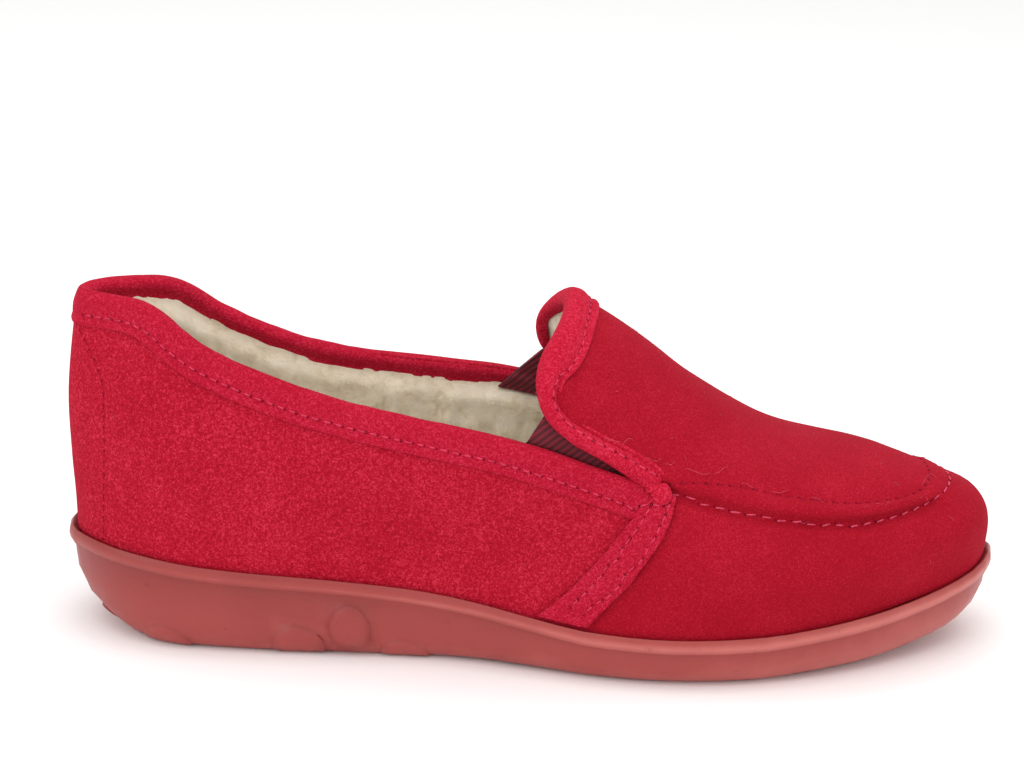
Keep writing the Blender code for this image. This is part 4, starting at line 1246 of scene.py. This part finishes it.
class SLIPPER_OT_lining(bpy.types.Operator):
    """Wool fleece inside the upper and on the footbed"""
    bl_idname = "slipper.lining"
    bl_label = "Fleece lining"

    def execute(self, context):
        item = copy_of_node("upper", "fleece_lining")
        faces = item.data.polygons
        inner = min(parts_by_sharp(item)[:2],
                    key=lambda group: sum(abs(faces[i].center.y) for i in group) / len(group))
        keep_faces(item, inner)
        apply_modifier(item, "smooth", "SUBSURF", levels=2, render_levels=2)
        rim = np.array([tuple(p) for p in resample(cad_upper()["inner"], 1.5 * MM, closed=True)])
        keep_faces(item, {face.index for face in item.data.polygons
                          if distance_to(rim, face.center) > FLEECE_BARE * MM})
        grow_pile(item, rim, context.scene.slipper_finish.fleece_depth)
        apply_modifier(item, "body", "SOLIDIFY", thickness=FLEECE_BACK, offset=-1.0)
        finish_piece(item, "fleece", "fleece", smooth=80)
        SHARED["fleece_item"] = item
        bed = copy_of_node("insole", "fleece_footbed")
        crease_sharp(bed, 60)
        apply_modifier(bed, "smooth", "SUBSURF", levels=2, render_levels=2)
        push(bed, 0.5 * MM, 6 * MM, 8.0)
        finish_piece(bed, "fleece", "fleece", "insole", smooth=70)
        return {"FINISHED"}


class SLIPPER_OT_sole(bpy.types.Operator):
    """Moulded foam rubber sole with its lip bead and tread lobes"""
    bl_idname = "slipper.sole"
    bl_label = "Unit sole"

    def execute(self, context):
        item = copy_of_node("sole", "moulded_sole")
        finish_piece(item, "rubber", "foam_rubber", "sole", smooth=42)
        return {"FINISHED"}


class SLIPPER_OT_stitches(bpy.types.Operator):
    """All rows of stitches: bindings, strips, apron seam, heel seam"""
    bl_idname = "slipper.stitches"
    bl_label = "Stitches"

    def execute(self, context):
        sizes = context.scene.slipper_finish
        length = sizes.stitch_length * MM
        radius = sizes.thread_radius * MM
        plain = (length, 0.9 * MM, radius, "thread_red", 0.0)
        rows = []
        for name, deep in FOLD_ROWS:
            middles, ways, surface, widths = SHARED[name]
            line = offset_line(middles, ways, deep, surface, widths)[2:-2]
            rows.append((name, [line], surface, *plain))
        for side, node in ((1, "side_strip_outer"), (-1, "side_strip_inner")):
            surface = SHARED[node]
            lines = [seam_path(row, side, surface, STRIP_LIFT) for row in STRIP_ROWS]
            rows.append((node, lines, surface, *plain))
        for side, (line, surface) in zip(("outer", "inner"), SHARED["bridge"]):
            rows.append((f"bridge_{side}", [line], surface, *plain))
        surface = SHARED["velour"]
        seam = smooth_line(lay_on(SHARED["seam"], surface), 10)
        fold = smooth_line(lay_on(SHARED["fold"], surface), 10)
        heel = [seam_path(HEEL_SEAM, side, surface) for side in (1, -1)]
        rows.append(("apron", [seam], surface, sizes.saddle_length * MM, 1.1 * MM, 0.24 * MM, "thread", 0.12))
        rows.append(("apron_edge", [fold], surface, length * 0.8, 1.4 * MM, radius * 0.8, "thread_dark", 0.1))
        rows.append(("heel", heel, surface, length * 0.8, 1.3 * MM, radius * 0.8, "thread_dark", 0.0))
        for seed, (name, lines, surface, long, gap, wide, kind, slant) in enumerate(rows):
            item = stitch_mesh(f"{name}_stitches", lines, surface, long, gap, wide, slant, seed + 1)
            # Needle holes, dark as painted shade inside them
            holes = needle_holes(f"{name}_holes", lines, surface, (long + gap) / 2, 0.16 * MM + wide)
            finish_piece(holes, "hole", "velour", smooth=60)
            slot = "velour_binding" if "fold" in name or "strip" in name else "velour"
            finish_piece(item, kind, slot, smooth=60)
        return {"FINISHED"}


def along_cloth(way, normal):
    """A direction laid flat on the cloth."""
    return (way - normal * way.dot(normal)).normalized()


def fleece_strands(count, rng):
    """Hairs that stand up out of the lining's open face, away from the collar's edge."""
    mesh = SHARED["fleece_item"].data
    rim = np.array([tuple(p) for loop in (SHARED["inner"], SHARED["outer"])
                    for p in resample(loop, 2.5 * MM, closed=True)])
    open_faces = [f for f in mesh.polygons if f.normal.dot(fleece_middle(f.center) - f.center) > 0]
    areas = np.array([f.area for f in open_faces])
    strands = []
    for index in rng.choice(len(open_faces), count, p=areas / areas.sum()):
        face = open_faces[int(index)]
        corners = [mesh.vertices[v].co for v in face.vertices]
        mix = rng.dirichlet(np.ones(len(corners)))
        start = sum((c * float(m) for c, m in zip(corners, mix)), Vector())
        if distance_to(rim, start) < HAIRS_FROM_EDGE * MM:
            continue
        along = along_cloth(Vector(rng.normal(size=3)), face.normal)
        length = float(rng.uniform(1.5, 3.4)) * MM
        lift = float(rng.uniform(0.3, 1.3)) * MM
        strands.append(curled_strand(start, face.normal, along, length, 0.9 * MM, lift, rng, 4))
    return strands


def thread_strands(rng):
    """The loose threads along the seams."""
    strands = []
    for start, run, climb, curl in LOOSE_THREADS:
        place, normal, _, _ = SHARED["velour"].find_nearest(world(start))
        along = along_cloth(Vector((run, 0.0, climb)), normal)
        length = 0.7 * math.hypot(run, climb) * MM
        strands.append(curled_strand(place, normal, along, length, 0.6 * curl * MM, 0.8 * MM, rng, 12))
    return strands


def lint_strands(rng):
    """Short fibres that lie about on the velour."""
    strands = []
    for _ in range(LINT_COUNT):
        point = Vector((rng.uniform(-0.125, 0.125), rng.uniform(-0.045, 0.045), rng.uniform(0.03, 0.09)))
        place, normal, _, _ = SHARED["velour"].find_nearest(point)
        if normal.dot(place - Vector((place.x, 0.0, 0.035))) < 0:
            continue
        along = along_cloth(Vector(rng.normal(size=3)), normal)
        length = float(rng.uniform(0.8, 2.4)) * MM
        curl = float(rng.uniform(0.1, 0.5)) * MM
        strands.append(curled_strand(place, normal, along, length, curl, 0.35 * MM, rng, 4))
    return strands


class SLIPPER_OT_hairs(bpy.types.Operator):
    """Loose hairs of the wool pile, lint on the velour and loose threads along the seams"""
    bl_idname = "slipper.hairs"
    bl_label = "Hairs and loose threads"

    def execute(self, context):
        rng = np.random.default_rng(12)
        count = context.scene.slipper_finish.fleece_hairs
        hairs = hair_mesh("fleece_hairs", fleece_strands(count, rng), HAIR_RADIUS)
        finish_piece(hairs, "fleece", "fleece", smooth=60)
        loose = hair_mesh("loose_threads", thread_strands(rng), HAIR_RADIUS)
        finish_piece(loose, "lint", "velour", smooth=60)
        specks = hair_mesh("velour_lint", lint_strands(rng), LINT_RADIUS)
        finish_piece(specks, "lint", "velour", smooth=60)
        return {"FINISHED"}


def fleece_middle(point):
    """The middle of the foot's room beside a point, to tell the pile's open face from its back."""
    return Vector((min(max(point.x, -0.095), 0.085), 0.0, 0.045 if point.z < 0.06 else point.z))


class SLIPPER_OT_stage(bpy.types.Operator):
    """Paper floor, soft studio light and the camera"""
    bl_idname = "slipper.stage"
    bl_label = "Studio"

    def execute(self, context):
        bpy.ops.object.select_all(action="DESELECT")
        bpy.ops.mesh.primitive_plane_add(size=6.0, location=(0, 0, 0))
        floor = bpy.context.object
        floor.name = "paper_floor"
        floor.data.materials.append(material_of("floor"))
        context.scene.view_settings.view_transform = "Standard"
        studio = bpy.data.worlds.new("studio")
        context.scene.world = studio
        studio.use_nodes = True
        back = studio.node_tree.nodes["Background"]
        back.inputs["Color"].default_value = grey(1.0)
        back.inputs["Strength"].default_value = ROOM_LIGHT
        for name, place, size, power in LIGHTS:
            light = bpy.data.lights.new(name, "AREA")
            light.size = size
            light.energy = power
            lamp = bpy.data.objects.new(name, light)
            context.scene.collection.objects.link(lamp)
            lamp.location = place
            aim = Vector((0, 0, 0.04)) - Vector(place)
            lamp.rotation_euler = aim.to_track_quat("-Z", "Y").to_euler()
        add_camera()
        return {"FINISHED"}


def add_camera():
    """Camera at the photograph's angle: 18 degrees above, level with the side, tipped 1.4 degrees."""
    rise = math.radians(CAMERA_RISE)
    tip = math.radians(CAMERA_TIP)
    back = Vector((0.0, -math.cos(rise), math.sin(rise)))
    right = Vector((1.0, 0.0, 0.0))
    above = right.cross(-back)
    across = right * math.cos(tip) + above * math.sin(tip)
    up = above * math.cos(tip) - right * math.sin(tip)
    place = Vector(AIM) + back * CAMERA_DISTANCE
    place = place - across * ((AIM_PIXEL[0] - PICTURE_SIZE[0] / 2) / PIXELS_PER_METRE)
    place = place + up * ((AIM_PIXEL[1] - PICTURE_SIZE[1] / 2) / PIXELS_PER_METRE)
    data = bpy.data.cameras.new("camera")
    data.sensor_width = SENSOR_WIDTH
    data.lens = PIXELS_PER_METRE * CAMERA_DISTANCE * SENSOR_WIDTH / PICTURE_SIZE[0]
    data.clip_start = 0.01
    item = bpy.data.objects.new("camera", data)
    bpy.context.scene.collection.objects.link(item)
    item.rotation_euler = Matrix((across, up, back)).transposed().to_euler()
    item.location = place
    bpy.context.scene.camera = item


class SLIPPER_PT_panel(bpy.types.Panel):
    """Sizes and pieces of the slipper"""
    bl_label = "Slipper"
    bl_idname = "SLIPPER_PT_panel"
    bl_space_type = "VIEW_3D"
    bl_region_type = "UI"
    bl_category = "Slipper"

    def draw(self, context):
        for group in (context.scene.slipper_finish, context.scene.slipper_colors):
            for name in group.__annotations__:
                self.layout.prop(group, name)
        for step in STEPS:
            self.layout.operator(step.bl_idname)


# Operators in the order in which main calls them
STEPS = (
    SLIPPER_OT_upper,
    SLIPPER_OT_bindings,
    SLIPPER_OT_strips,
    SLIPPER_OT_gores,
    SLIPPER_OT_lining,
    SLIPPER_OT_sole,
    SLIPPER_OT_stitches,
    SLIPPER_OT_hairs,
    SLIPPER_OT_stage,
)


CLASSES = (SlipperFinish, SlipperColors, *STEPS, SLIPPER_PT_panel)


def register():
    """Register the classes and hang the settings on the scene."""
    for cls in CLASSES:
        bpy.utils.register_class(cls)
    bpy.types.Scene.slipper_finish = bpy.props.PointerProperty(type=SlipperFinish)
    bpy.types.Scene.slipper_colors = bpy.props.PointerProperty(type=SlipperColors)


def unregister():
    """Take the settings and the classes away again."""
    del bpy.types.Scene.slipper_colors
    del bpy.types.Scene.slipper_finish
    for cls in CLASSES[::-1]:
        bpy.utils.unregister_class(cls)


def main():
    register()
    bpy.ops.slipper.upper()
    bpy.ops.slipper.bindings()
    bpy.ops.slipper.strips()
    bpy.ops.slipper.gores()
    bpy.ops.slipper.lining()
    bpy.ops.slipper.sole()
    bpy.ops.slipper.stitches()
    bpy.ops.slipper.hairs()
    bpy.ops.slipper.stage()


if __name__ == "__main__":
    main()
